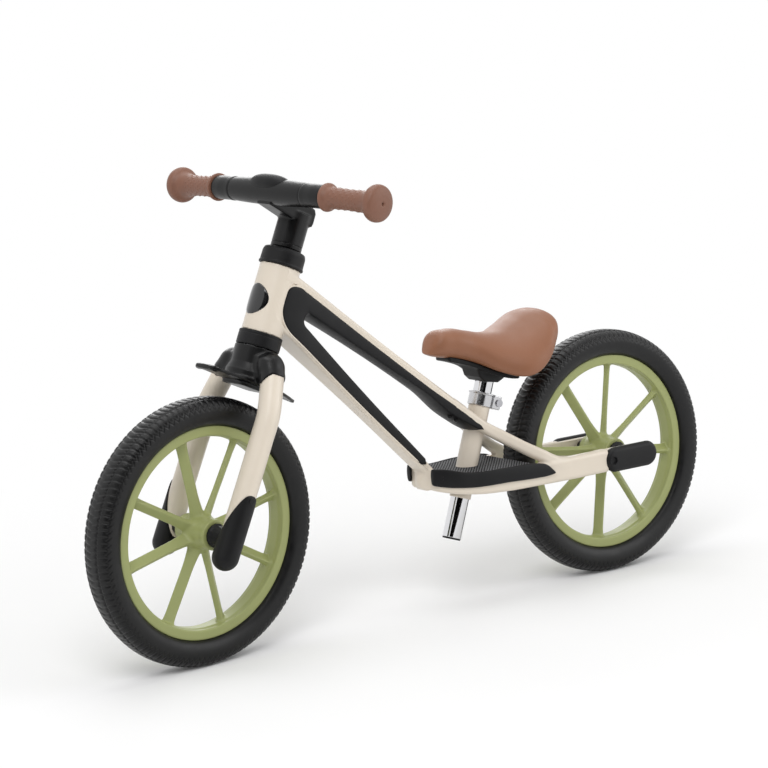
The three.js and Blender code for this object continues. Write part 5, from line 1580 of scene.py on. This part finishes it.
    def beam_edges(self) -> tuple[Array, Array]:
        """The liner's outer and inner edge along the beam, from its rounded tail forwards.

        The lower one flares where the beam meets the seat tube.

        Returns:
            The two edges, as points (x, z).
        """
        tail = self.liner_end
        along = np.linspace(tail, self.liner_start, 60)
        near_seat = smooth_step((along - self.split + 49) / 49)
        past_split = smooth_step((along - self.split) / (self.beam.length - self.split))
        half = self.beam_half(along)
        top = half - self.shoulder + 1.4 * near_seat
        base = -half - 4.2 * near_seat * (1 - 0.6 * past_split)
        middle = (top + base) / 2
        tip = np.maximum(rounded_end(tail - along, 9), 0.05)
        top, base = middle + (top - middle) * tip, middle + (base - middle) * tip
        inner_along = np.linspace(tail, self.window_at, 60)
        lower = np.interp(inner_along, along[::-1], base[::-1])
        return self.beam_point(along, top), self.beam_point(inner_along, lower)

    def down_edge(self, start: float, side: int) -> Array:
        """One of the liner's edges along the down tube, closing to a round end at its foot.

        Args:
            start: where along the tube it starts.
            side: 1 for the upper edge, -1 for the lower.

        Returns:
            The edge, as points (x, z).
        """
        foot = self.down.length - 15
        along = np.linspace(start, foot, 50)[1:]
        middle = self.sill / 2
        reach = side * (self.down_half(along) - middle)
        return self.down.point(along, middle + reach * np.maximum(rounded_end(foot - along, 5), 0.1))

    def liner_edges(self) -> tuple[Array, Array, Array]:
        """The liner's two edges in side view, point for point, from its upper tail round the head
        to its lower foot.

        Returns:
            The outer edge, the inner edge along the window, and 0 on the beam, 1 on the down tube.
        """
        outer_beam, inner_beam = self.beam_edges()
        front, brow, chin, turn = self.liner_front, self.liner_brow, self.liner_chin, self.liner_turn
        upper = self.head_point(front, brow - self.liner_corner)
        lower = self.head_point(front, chin)
        under = self.down.point(turn, self.sill - self.down_half(turn))
        outer_nose = np.concatenate([
            self.bend(outer_beam[-1], self.head_point(front, brow), upper, 14),
            self.bend(upper, (upper + lower) / 2, lower, 6),
            self.bend(lower, self.head_point(front, chin - 21), under, 14),
        ])
        top, foot = inner_beam[-1], self.down.point(self.window_at, self.down_half(self.window_at))
        inner_nose = self.bend(top, (top + foot) / 2 + np.array([-12.0, 1.0]), foot, len(outer_nose))
        outer = np.concatenate([outer_beam, outer_nose, self.down_edge(turn, -1)])
        inner = np.concatenate([inner_beam, inner_nose, self.down_edge(self.window_at, 1)])
        which = np.concatenate([np.zeros(60), np.linspace(0, 1, len(outer_nose)), np.ones(49)])
        return outer, inner, which

    def flank(self, x: Array, which: Array) -> Array:
        """Half width at a place along the bike: the beam's where `which` is 0, the down tube's at 1."""
        return (1 - which) * self.half_width(x) + which * self.down_half_width(x)

    def liner(self) -> Shell:
        """The liner: at each step round the horseshoe a channel section, up one flank from its
        outer edge, round the window's edge, across the tube's inner face and up the other flank.

        The flank parts run straight between the two edges in side view and bulge by `lift`;
        the wall's inside is the same channel drawn in by its thickness.

        Returns:
            The liner's skin.
        """
        outer, inner, which = self.liner_edges()
        across = np.array([0.0, 0.03, 0.10, 0.25, 0.45, 0.65, 0.82, 0.93, 0.985])
        lift = np.array([-0.9, 0.05, 0.42, 0.62, 0.72, 0.66, 0.50, 0.18, -0.9])
        edge = inner - outer
        inward = edge / np.maximum(np.linalg.norm(edge, axis=1), TINY)[:, None]
        side = outer[:, None, :] + edge[:, None, :] * across[None, :, None]
        y = self.flank(side[..., 0], which[:, None]) + lift[None, :] + self.stand - 0.25
        crown = np.array([0.3, 1.9, 2.6, 2.6, 1.9, 0.3])
        face = inner[:, None, :] + inward[:, None, :] * crown[None, :, None]
        shares = np.array([1.0, 0.6, 0.2, -0.2, -0.6, -1.0])
        face_y = shares[None, :] * (self.flank(inner[:, 0], which) - 2.2)[:, None]
        places = np.concatenate([side, face, side[:, ::-1]], axis=1)
        level = np.concatenate([y, face_y, -y[:, ::-1]], axis=1)
        skin = np.stack([places[..., 0], level, places[..., 1]], axis=-1)
        count = len(across)
        hidden = skin.copy()
        hidden[:, :count, 1] -= self.liner_wall
        hidden[:, -count:, 1] += self.liner_wall
        fade = np.linspace(-0.2, 1, count)
        drawn = self.liner_wall * np.concatenate([fade, np.ones(len(crown)), fade[::-1]])
        hidden[..., [0, 2]] -= inward[:, None, :] * drawn[None, :, None]
        return grid_skin(np.concatenate([skin, hidden[:, ::-1]], axis=1))

    def lip(self, side: float) -> Shell:
        """The painted bead along the liner's outer edge, on one side of the bike.

        Args:
            side: 1 or -1.

        Returns:
            The bead's skin, a thin tube.
        """
        outer, _, which = self.liner_edges()
        y = side * (self.flank(outer[:, 0], which) - 0.25)
        path = np.stack([outer[:, 0], y, outer[:, 1]], axis=1)[3:-2]
        return tube_skin(path, self.bead_radius, 12)

    def lined_tube(self, place: Sequence[Array], size: Sequence[Array], ends: Array, covered: Array) -> Array:
        """Distance to a tube of rounded section whose part under the liner is drawn in.

        Args:
            place: how far a point is to the side of the tube's middle, and above it.
            size: the section's half width and half height there.
            ends: how far the point is past the tube's ends.
            covered: how far it is under the liner's edge.

        Returns:
            The distance, negative inside.
        """
        (side, up), (width, half) = place, size
        tube = pillow(bar(side, up, width, half, self.tube_corner), ends, 3.0)
        drawn = np.maximum(side - width + self.liner_bed, np.abs(up) - half + 1.2)
        return np.maximum(tube, np.minimum(covered, drawn))

    def tubes(self, x: Array, side: Array, z: Array) -> Array:
        """Distance to the beam, the down tube and the web between them at the head.

        Each tube's point is taken along its own line and above it; the web is a flat outline.

        Args:
            x, side, z: places along the bike, out to either side and above the floor.

        Returns:
            The distance, negative inside.
        """
        along, up = self.beam.local(x, z)
        up = up - self.arch(along)
        half = self.beam_half(along)
        width = self.half_width(self.beam.start[0] + along * self.beam.way[0])
        ends = np.maximum(along - self.split - 12, -along - 20)
        beam = self.lined_tube((side, up), (width, half), ends, half - self.shoulder - 1.4 - up)
        along, up = self.down.local(x, z)
        half = self.down_half(along)
        width = self.down_half_width(self.down.start[0] + along * self.down.way[0])
        ends = np.maximum(along - self.down.length - 3, -along - 20)
        down = self.lined_tube((side, up), (width, half), ends, up + half - self.sill - 1.4)
        corners = np.array([
            self.beam_point(0.0, 0.0), self.beam_point(30.0, -8.0),
            self.down.point(30.0, 6.0), self.down.point(0.0, 0.0),
        ])
        web = np.maximum(outline_distance(x, z, corners), side - self.half_width(x) + 1.8)
        return np.minimum(np.minimum(beam, down), web)

    def arms(self, x: Array, side: Array, z: Array) -> Array:
        """Distance to the arms, with their axle plates, and the nose that joins them in front.

        An arm is a rounded section carried along its course, its width measured square to it; an
        axle plate is a flat capsule; the nose is a rounded bar that grows backwards.

        Args:
            x, side, z: places along the bike, out to either side and above the floor.

        Returns:
            The distance, negative inside.
        """
        middle = curve(x, self.arm_x, self.arm_y)
        level = curve(x, self.arm_x, self.arm_z)
        half = curve(x, self.arm_x, self.arm_half)
        lean = np.clip((curve(x + 1, self.arm_x, self.arm_y) - middle), 0, 1.3)
        arm = bar((side - middle) / np.hypot(1, lean), z - level, self.arm_width / 2, half, self.tube_corner)
        arm = pillow(arm, np.maximum(self.nose_end + 4 - x, x - REAR_AXLE_X + self.arm_end), 4.0)
        past = np.maximum(np.abs(x - REAR_AXLE_X + 18) - 29, 0)
        plate = np.hypot(past, z - AXLE_HEIGHT + self.plate_drop) - 12.6
        arm = smooth_union(arm, pillow(plate, np.abs(side - 41.2) - 3.1, 0.8), 3.0)
        start = self.nose_end - 5
        knots = [start, self.nose_end - 3, self.nose_end, self.nose_end + 8]
        nose = bar(
            side, z - AXLE_HEIGHT - curve(x, knots, [7.6, 7.2, 7.6, 7.4]),
            curve(x, knots, [3.5, 6.0, 9.5, 15]), curve(x, knots, [3.4, 6.6, 10.5, 11.0]), 4.0,
        )
        nose = pillow(nose, between(x, start, self.nose_end + 6), 2.5)
        return smooth_union(arm, nose, 3.0)

    def stay(self, x: Array, side: Array, z: Array) -> Array:
        """Distance to a stay: a rounded section from the beam's end, beside the seat tube, to the arm.

        Args:
            x, side, z: places along the bike, out to either side and above the floor.

        Returns:
            The distance, negative inside.
        """
        start = self.beam_point(self.split, 0.0)
        beside = self.beam_point(self.beam.length, 0.0)
        ahead, rise = self.stay_foot
        foot = np.array([REAR_AXLE_X - ahead, AXLE_HEIGHT + rise])
        seat_half = self.seat_radius + 0.3 + self.stay_width
        half = self.stay_width / 2
        shares = np.array([0.25, 0.5, 0.78])[:, None]
        run = beside + shares * (foot - beside) + np.array([[0, -1], [0, -2], [0, -1.5]])
        places = np.concatenate([[start], [(start + beside) / 2], [beside], run, [foot], [foot + (18, -4)]])
        split = float(self.half_width(start[0])) / 2
        middles = [
            split, (split + seat_half - half) / 2, seat_half - half,
            float(self.half_width(run[0, 0])) - half, float(self.half_width(run[1, 0])) - half,
            self.arm_spread - 1, self.arm_spread, self.arm_spread,
        ]
        halves = [split, (split + half) / 2, half, half, half, half, half - 0.3, half - 1]
        heights = [6.6, 6.6, 6.5, 6.7, 6.7, 6.7, 6.7, 5]
        knots = places[:, 0]
        slope = (foot[1] - start[1]) / (foot[0] - start[0])
        up = (z - curve(x, knots, places[:, 1])) / math.hypot(1, slope)
        off = side - curve(x, knots, middles)
        section = bar(off, up, curve(x, knots, halves), curve(x, knots, heights), 4.8)
        return pillow(section, between(x, knots[0] - 4, knots[-1]), 3.0)

    def painted(self, x: Array, y: Array, z: Array) -> Array:
        """Distance to the painted frame: its tubes, filleted together as welded and dressed.

        The part under the liner is drawn in by the liner's wall.

        Args:
            x, y, z: places in the bike's axes.

        Returns:
            The distance, negative inside.
        """
        side = np.abs(y)
        hx, _, hz = HEAD.local(x, np.zeros(1), z)
        head = pillow(np.hypot(hx, y) - self.head_radius, between(hz, self.head_base, self.head_top), 0.7)
        body = smooth_union(head, np.maximum(self.tubes(x, side, z), -2 - hx), 2.6)
        body = smooth_union(body, self.arms(x, side, z), 3.5)
        body = smooth_union(body, self.stay(x, side, z), 3.2)
        covered = -1.5 - outline_distance(x, z, self.liner_outline)
        body = np.maximum(body, np.minimum(covered, side - self.half_width(x) + 1.5))
        sx, _, sz = SEAT.local(x, np.zeros(1), z)
        seat = pillow(np.hypot(sx, y) - self.seat_radius, between(sz, *self.seat_span), 0.8)
        return smooth_union(body, seat, 1.4)

    def arm_side(self, x: Array) -> tuple[Array, Array]:
        """An arm's outer face and its lean, at a distance along the bike.

        Ahead of its second knot the face runs straight on.

        Args:
            x: where along the bike.

        Returns:
            The face's distance to the side, and its slope.
        """
        steep, first = 0.86, self.arm_x[1]
        slope = (curve(x + 1, self.arm_x, self.arm_y) - curve(x - 1, self.arm_x, self.arm_y)) / 2
        slope = np.where(x < first, steep, slope)
        middle = np.where(x < first, self.arm_y[1] + steep * (x - first), curve(x, self.arm_x, self.arm_y))
        return middle + self.arm_width / 2 * np.hypot(1, slope), slope

    def side_cover(self, x: Array, y: Array, z: Array) -> Array:
        """Distance to the left arm's black moulding: a slim pod, blunt ahead, pointed behind.

        Its section is a rounded bar on the arm's outer face, crowned by a parabola.

        Args:
            x, y, z: places in the bike's axes.

        Returns:
            The distance, negative inside.
        """
        knots = self.nose_end + 0.2 + self.cover_length * np.array([0, 0.04, 0.22, 0.6, 0.84, 0.93, 1])
        level = AXLE_HEIGHT + curve(x, knots, [13.3, 12.4, 7.1, 5.7, 4.2, 2.2, -2.0])
        half = curve(x, knots, [9.6, 10.4, 9.2, 8.9, 8.6, 6.6, 1.2])
        face, slope = self.arm_side(x)
        off = (-y - face - 1.2) / np.hypot(1, slope)
        crown = 1.9 + 1.2 * np.clip(1 - ((z - level) / np.maximum(half, 1)) ** 2, 0, 1)
        pod = bar(off, z - level, crown, half, 1.8)
        return pillow(pod, between(x, knots[0], knots[-1]), 2.0)

    def axle_cover(self, x: Array, y: Array, z: Array) -> Array:
        """Distance to the left axle's black capsule, softly domed outside, with its screw's recess.

        Args:
            x, y, z: places in the bike's axes.

        Returns:
            The distance, negative inside.
        """
        reach, radius = self.capsule_half
        up = z - AXLE_HEIGHT + self.plate_drop
        flat = np.hypot(np.maximum(np.abs(x - REAR_AXLE_X) - reach, 0), up)
        depth = between(-y, 44.7, 56.9 - 0.006 * flat ** 2)
        recess = np.maximum(np.hypot(x - REAR_AXLE_X + 31.3, up) - 4.6, 54.4 + y)
        return smooth_cut(pillow(flat - radius, depth, 5.6), recess, 0.6)

    def build(self) -> None:
        """Makes the frame, its liner and its covers."""
        painted = skin_of(self.painted, (-224, -56, 116), (314, 56, 432), 1.45)
        make_piece("painted_frame", painted, "frame", [
            "head_tube", "top_beam", "down_tube", "seat_tube",
            "left_stay", "right_stay", "left_arm", "right_arm",
        ], CREAM)
        make_piece("frame_bead", joined([self.lip(1.0), self.lip(-1.0)]), "frame", [], CREAM)
        make_piece("window_liner", self.liner(), "frame", ["frame_liner"], TRIM)
        head = eased([(0.3, 2.0), (2.0, 1.7), (2.9, 0.6), (2.9, -2.0), (0.3, -2.0)], 0.6)[::-1]
        screws = [
            turned_skin(head, 32).placed(axes_along(np.array(place, float), -self.beam.up))
            for place in self.screws
        ]
        make_piece("liner_screws", joined(screws), "frame", [], BLACK_PAINT)
        covers = {
            "side_cover": skin_of(self.side_cover, (4, -62, 134), (176, -8, 176), 0.9),
            "axle_cover": skin_of(self.axle_cover, (244, -62, 126), (334, -42, 164), 0.9),
        }
        for side in ("left", "right"):
            for node, shell in covers.items():
                shell = shell if side == "left" else shell.mirrored()
                make_piece(f"{side}_{node}_moulding", shell, "frame", [f"{side}_{node}"], TRIM)


# -------------------------------- Seat


@dataclass
class Seat:
    """The padded saddle, the block under it, its chromed post and the clamp that holds that.

    Heights of the post and clamp are along the seat tube from the axle's level.
    """

    length: float = 172.6
    nose_ahead: float = 89.0
    rise: float = 35.0
    half_width: float = 62.0
    softness: float = 0.78
    pad_fill: float = 0.9
    block_half: float = 16.6
    pan_share: float = 0.66
    pan_span: tuple[float, float] = (0.14, 0.62)
    post_radius: float = 11.0
    post_wall: float = 1.6
    post_base: float = -70.3
    post_top: float = 128.4
    bung_length: float = 14.0
    clamp_base: float = 85.7
    clamp_top: float = 101.5
    clamp_inner: float = 12.8
    clamp_outer: float = 15.4
    ear_reach: float = 23.9
    ear_half: float = 9.6
    slit_half: float = 1.5

    @property
    def top(self) -> Axes:
        """Axes at the top of the post, level with the ground."""
        return Axes(SEAT.origin + SEAT.z * self.post_top, BIKE.x, BIKE.y, BIKE.z)

    def places(self, share: Array) -> dict[str, Array]:
        """The saddle's sizes along it, each a curve through the values at its stations.

        Args:
            share: shares of its length from the nose.

        Returns:
            Its half width, top, underside and droop there.
        """
        stations = [0, 0.05, 0.18, 0.34, 0.47, 0.6, 0.74, 0.88, 0.97, 1]
        tables = {
            "wide": ([0.1, 0.24, 0.34, 0.44, 0.69, 0.94, 0.98, 0.85, 0.58, 0.34], self.half_width),
            "top": ([0.9, 1.36, 1.58, 1.44, 1.3, 1.32, 1.58, 1.84, 1.74, 1.54], self.rise),
            "under": ([0.86, 0.76, 0.62, 0.42, 0.22, 0.13, 0.24, 0.66, 1.08, 1.26], self.rise),
            "droop": ([0, 0, 0.03, 0.2, 0.5, 0.66, 0.6, 0.32, 0.08, 0], self.rise),
        }
        return {name: size * curve(share, stations, values) for name, (values, size) in tables.items()}

    def cushion(self) -> Shell:
        """The padded top: rings from nose to tail, each a soft-edged section with drooping sides.

        A ring's point at angle a is (w s(cos a), m + h s(sin a) - d s(cos a)^2), where s keeps the
        sign and raises the size to `softness`, m and h are the section's middle and half height,
        and d is its droop. The ends close as quarter ovals.

        Returns:
            The cushion's skin.
        """
        share = 0.5 - 0.5 * np.cos(np.linspace(0.05, np.pi - 0.05, 90))
        place = self.places(share)
        angle = full_turn(72)
        across, height = softened(np.cos(angle), self.softness), softened(np.sin(angle), self.softness)
        close = rounded_end(share, 0.02)
        middle = (place["top"] + place["under"]) / 2
        half = (place["top"] - place["under"]) / 2 * close
        wide = place["wide"] * np.minimum(1, 0.35 + 0.65 * close)
        y = wide[:, None] * across
        z = middle[:, None] + half[:, None] * height - place["droop"][:, None] * across ** 2
        x = np.broadcast_to((share * self.length - self.nose_ahead)[:, None], y.shape)
        return grid_skin(np.stack([x, y, z], axis=-1)).placed(self.top)

    def base(self, x: Array, y: Array, z: Array) -> Array:
        """Distance to the black block under the saddle and the thin pan above it.

        The block is a wedge with a rounded front that holds the post; the pan follows the
        cushion's underside.

        Args:
            x, y, z: places from the top of the post.

        Returns:
            The distance, negative inside.
        """
        corners = np.array([
            [-27, 10], [-22.5, -4], [-16, -10], [4, -14], [13, -10], [18, 8], [0, 13], [-20, 14],
        ])
        wedge = pillow(outline_distance(x, z, corners), np.abs(y) - self.block_half, 3.2)
        share = np.clip((x + self.nose_ahead) / self.length, 0, 1)
        place = self.places(share)
        lower = place["under"] - place["droop"] * (y / np.maximum(place["wide"], 1)) ** 2
        pan = pillow(np.abs(z - lower + 1.0) - 3.0, np.abs(y) - place["wide"] * self.pan_share, 1.5)
        pan = pillow(pan, between(share, *self.pan_span) * self.length, 3)
        return smooth_union(wedge, pan, 4.0)

    def clamp(self, x: Array, y: Array, z: Array) -> Array:
        """Distance to the clamp: a lipped ring with two ears behind it and a slit between them.

        Args:
            x, y, z: places in the seat tube's axes.

        Returns:
            The distance, negative inside.
        """
        radius = np.hypot(x, y)
        height = between(z, self.clamp_base, self.clamp_top)
        band = pillow(radius - self.clamp_outer + 1.0, height, 0.6)
        lipped = pillow(radius - self.clamp_outer, between(z, self.clamp_top - 2.1, self.clamp_top), 0.5)
        ears = pillow(x - self.ear_reach, np.abs(y) - self.ear_half, 2.0)
        ears = pillow(ears, pillow(height, -x, 0.5), 1.0)
        body = smooth_union(smooth_union(band, lipped, 0.5), ears, 1.5)
        slit = np.maximum(np.abs(y) - self.slit_half, -x)
        return smooth_cut(smooth_cut(body, radius - self.clamp_inner, 0.3), slit, 0.5)

    def build(self) -> None:
        """Makes the saddle, its base, the post with its bung, and the clamp."""
        saddle = make_piece("saddle_cushion", self.cushion(), "seat", ["saddle"], VINYL)
        base = skin_of(self.base, (-72, -46, -18), (48, 46, 40), 1.1).placed(self.top)
        make_piece("saddle_pan", base, "seat", ["saddle_base"], TRIM)
        outer, low, high = self.post_radius, self.post_base, self.post_top
        inner = outer - self.post_wall
        tube = eased([(inner, low), (outer, low), (outer, high), (inner, high)], 0.6, 4)
        post = turned_skin(tube, 96, closed_rows=True).placed(SEAT)
        make_piece("chromed_post", post, "seat", ["seat_post"], CHROME)
        bung = eased([
            (0.4, low - 2), (outer - 0.6, low - 2), (outer - 0.2, low - 0.1), (inner - 0.2, low - 0.1),
            (inner - 0.2, low + self.bung_length), (0.4, low + self.bung_length),
        ], 0.5, 4)
        make_piece("post_bung", turned_skin(bung, 64).placed(SEAT), "seat", ["seat_post_plug"], TRIM)
        clamp = skin_of(self.clamp, (-17, -17, 84), (26, 17, 103), 0.5).placed(SEAT)
        make_piece("post_clamp", clamp, "frame", ["seat_clamp"], CAST)


# -------------------------------- Hardware


# The finish of each CAD node that still shows, by the words in its name; the rest are trim.
HARDWARE = {
    "cover_screw": BLACK_PAINT, "steerer": BLACK_PAINT, "deck": TREADPLATE, "spacer": TRIM,
    "nut": ZINC, "axle": ZINC, "bearing": ZINC, "bolt": ZINC,
}


def finish_hardware() -> None:
    """Gives the CAD's small parts that still show their finishes."""
    for name, node in frame["nodes"].items():
        chosen = next((finish for word, finish in HARDWARE.items() if word in name), TRIM)
        if node.data.materials:
            node.material_slots[0].material = chosen.material()
        else:
            node.data.materials.append(chosen.material())
        LOG.info("hardware %s: %s", name, chosen.name)


# -------------------------------- Studio


@dataclass(frozen=True)
class Lamp:
    """A large round soft lamp: its place and size in metres, and its power in watts."""

    name: str
    place: tuple[float, float, float]
    size: float
    power: float


@dataclass
class Studio:
    """A pale floor, soft lamps and the camera, in metres and degrees."""

    azimuth: float = -36.2439
    elevation: float = 8.6375
    roll: float = -3.4026
    distance: float = 2.822716
    target: tuple[float, float, float] = (-0.0325, 0.0, 0.2724)
    lens: float = 117.31
    sensor: float = 36.0
    floor_reach: float = 6.0
    fade: tuple[float, float] = (0.55, 1.1)
    paper: str = "#f4f4f4"
    white: str = "#ffffff"
    soft_light: float = 0.55
    aim_height: float = 0.27
    flag_half: float = 0.9
    flag_span: tuple[float, float] = (0.02, 1.5)
    flag_away: float = 1.25
    flag_turn: float = 4.0
    lamps: tuple[Lamp, ...] = (
        Lamp("key_softbox", (-1.6, -1.8, 2.3), 1.8, 34),
        Lamp("fill_softbox", (1.9, -1.7, 1.2), 2.0, 14),
        Lamp("top_softbox", (0.1, 0.3, 2.8), 2.2, 22),
        Lamp("back_softbox", (1.2, 2.2, 1.5), 1.6, 16),
    )

    @staticmethod
    def sheet(
        name: str, corners: Sequence[Sequence[float]], material: bpy.types.Material
    ) -> bpy.types.Object:
        """A flat sheet of the stage, one face over four corners.

        Args:
            name: its name.
            corners: its corners in order.
            material: its material.

        Returns:
            The object.
        """
        mesh = bpy.data.meshes.new(name)
        mesh.from_pydata([tuple(map(float, corner)) for corner in corners], [], [(0, 1, 2, 3)])
        mesh.materials.append(material)
        made = add_object(name, mesh)
        return made

    @staticmethod
    def looking(tree: Tree) -> Socket:
        """Tells rays that look at the background from rays that light the bike.

        Args:
            tree: the node tree.

        Returns:
            1 for rays from the camera, from gloss and through glass, 0 for the rest.
        """
        path = add_node(tree, "LightPath").outputs
        seen = path["Is Camera Ray"]
        for ray in ("Is Glossy Ray", "Is Transmission Ray"):
            seen = add_node(tree, "Math", {"operation": "MAXIMUM"}, _0=seen, _1=path[ray]).outputs[0]
        return seen

    def floor(self) -> None:
        """A pale matt floor that keeps its shadow and, far from the bike, fades to white."""
        made = bpy.data.materials.new("studio_paper")
        tree = cleared_tree(made)
        paper = add_node(tree, "BsdfDiffuse", Color=linear(self.paper), Roughness=0.5)
        place = add_node(tree, "TexCoord").outputs["Object"]
        far = add_node(tree, "VectorMath", {"operation": "LENGTH"}, _0=place).outputs["Value"]
        near_end, far_end = self.fade
        fade = add_node(
            tree, "MapRange", {"interpolation_type": "SMOOTHSTEP"}, Value=far,
            From_Min=near_end, From_Max=far_end,
        ).outputs["Result"]
        seen = add_node(tree, "Math", {"operation": "MULTIPLY"}, _0=fade, _1=self.looking(tree)).outputs[0]
        white = add_node(tree, "Emission", Color=linear(self.white), Strength=1.0)
        mixed = add_node(
            tree, "MixShader", _0=seen, _1=paper.outputs["BSDF"], _2=white.outputs["Emission"],
        )
        add_node(tree, "OutputMaterial", Surface=mixed.outputs["Shader"])
        reach = self.floor_reach
        corners = [(-reach, -reach, 0), (reach, -reach, 0), (reach, reach, 0), (-reach, reach, 0)]
        self.sheet("studio_floor", corners, made)

    def world(self) -> None:
        """A white background to look at and to see in gloss, and a plain dimmer grey for light."""
        world = bpy.data.worlds.new("studio_world")
        bpy.context.scene.world = world
        tree = cleared_tree(world)
        soft = add_node(tree, "Background", Color=linear(self.white), Strength=self.soft_light)
        white = add_node(tree, "Background", Color=linear(self.white), Strength=1.0)
        mixed = add_node(
            tree, "MixShader", _0=self.looking(tree),
            _1=soft.outputs["Background"], _2=white.outputs["Background"],
        )
        add_node(tree, "OutputWorld", Surface=mixed.outputs["Shader"])

    @staticmethod
    def pose(thing: bpy.types.Object, place: Array, right: Array, up: Array, back: Array) -> None:
        """Sets an object's place and its three axes.

        Args:
            thing: the object.
            place: its place.
            right, up, back: its axes, of length 1.
        """
        matrix = np.eye(4)
        matrix[:3, :3] = np.stack([right, up, back], axis=1)
        matrix[:3, 3] = place
        # An array is read column by column.
        thing.matrix_world = matrix.T

    def light(self, lamp: Lamp) -> None:
        """Sets up a lamp, aimed at the bike's middle.

        Args:
            lamp: the lamp.
        """
        data = bpy.data.lights.new(lamp.name, "AREA")
        data.shape = "DISK"
        data.size = lamp.size
        data.energy = lamp.power
        place = np.array(lamp.place, float)
        back = unit(place - (0, 0, self.aim_height))
        right = unit(np.cross(UP, back))
        self.pose(add_object(lamp.name, data), place, right, np.cross(back, right), back)

    def flag(self) -> None:
        """A black flag before the camera, seen only in reflections.

        It draws the dark bands in chrome and deepens the black paint.
        """
        made = bpy.data.materials.new("black_cloth")
        tree = cleared_tree(made)
        cloth = add_node(tree, "BsdfDiffuse", Color=linear("#0c0c0c"))
        add_node(tree, "OutputMaterial", Surface=cloth.outputs["BSDF"])
        turn = math.radians(self.azimuth + self.flag_turn)
        middle = np.array([math.sin(turn), -math.cos(turn)]) * self.flag_away
        across = np.array([math.cos(turn), math.sin(turn)]) * self.flag_half
        low, high = self.flag_span
        corners = [
            (*(middle - across), low), (*(middle + across), low),
            (*(middle + across), high), (*(middle - across), high),
        ]
        flag = self.sheet("black_flag", corners, made)
        flag.visible_camera = flag.visible_diffuse = flag.visible_shadow = flag.visible_transmission = False

    def camera(self) -> None:
        """The camera, at its azimuth and elevation, rolled a little."""
        data = bpy.data.cameras.new("camera")
        data.lens, data.sensor_width = self.lens, self.sensor
        data.clip_start, data.clip_end = 0.05, 50
        turn, lift, roll = (math.radians(angle) for angle in (self.azimuth, self.elevation, self.roll))
        back = np.array([math.sin(turn) * math.cos(lift), -math.cos(turn) * math.cos(lift), math.sin(lift)])
        right = np.array([math.cos(turn), math.sin(turn), 0.0])
        up = np.cross(back, right)
        rolled_right = math.cos(roll) * right + math.sin(roll) * up
        rolled_up = math.cos(roll) * up - math.sin(roll) * right
        camera = add_object("camera", data)
        self.pose(camera, np.array(self.target) + back * self.distance, rolled_right, rolled_up, back)
        bpy.context.scene.camera = camera

    def build(self) -> None:
        """Sets the stage."""
        self.floor()
        self.world()
        self.flag()
        for lamp in self.lamps:
            self.light(lamp)
        self.camera()
        bpy.context.scene.view_settings.view_transform = "Standard"


def main() -> None:
    """Builds the bike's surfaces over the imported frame."""
    logging.basicConfig(level=logging.INFO, format="%(message)s")
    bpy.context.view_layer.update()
    finish_hardware()
    for part in (Wheel("front", 81.9), Wheel("rear", 103.0), Fork(), Head(), Frame(), Seat(), Studio()):
        part.build()


if __name__ == "__main__":
    main()
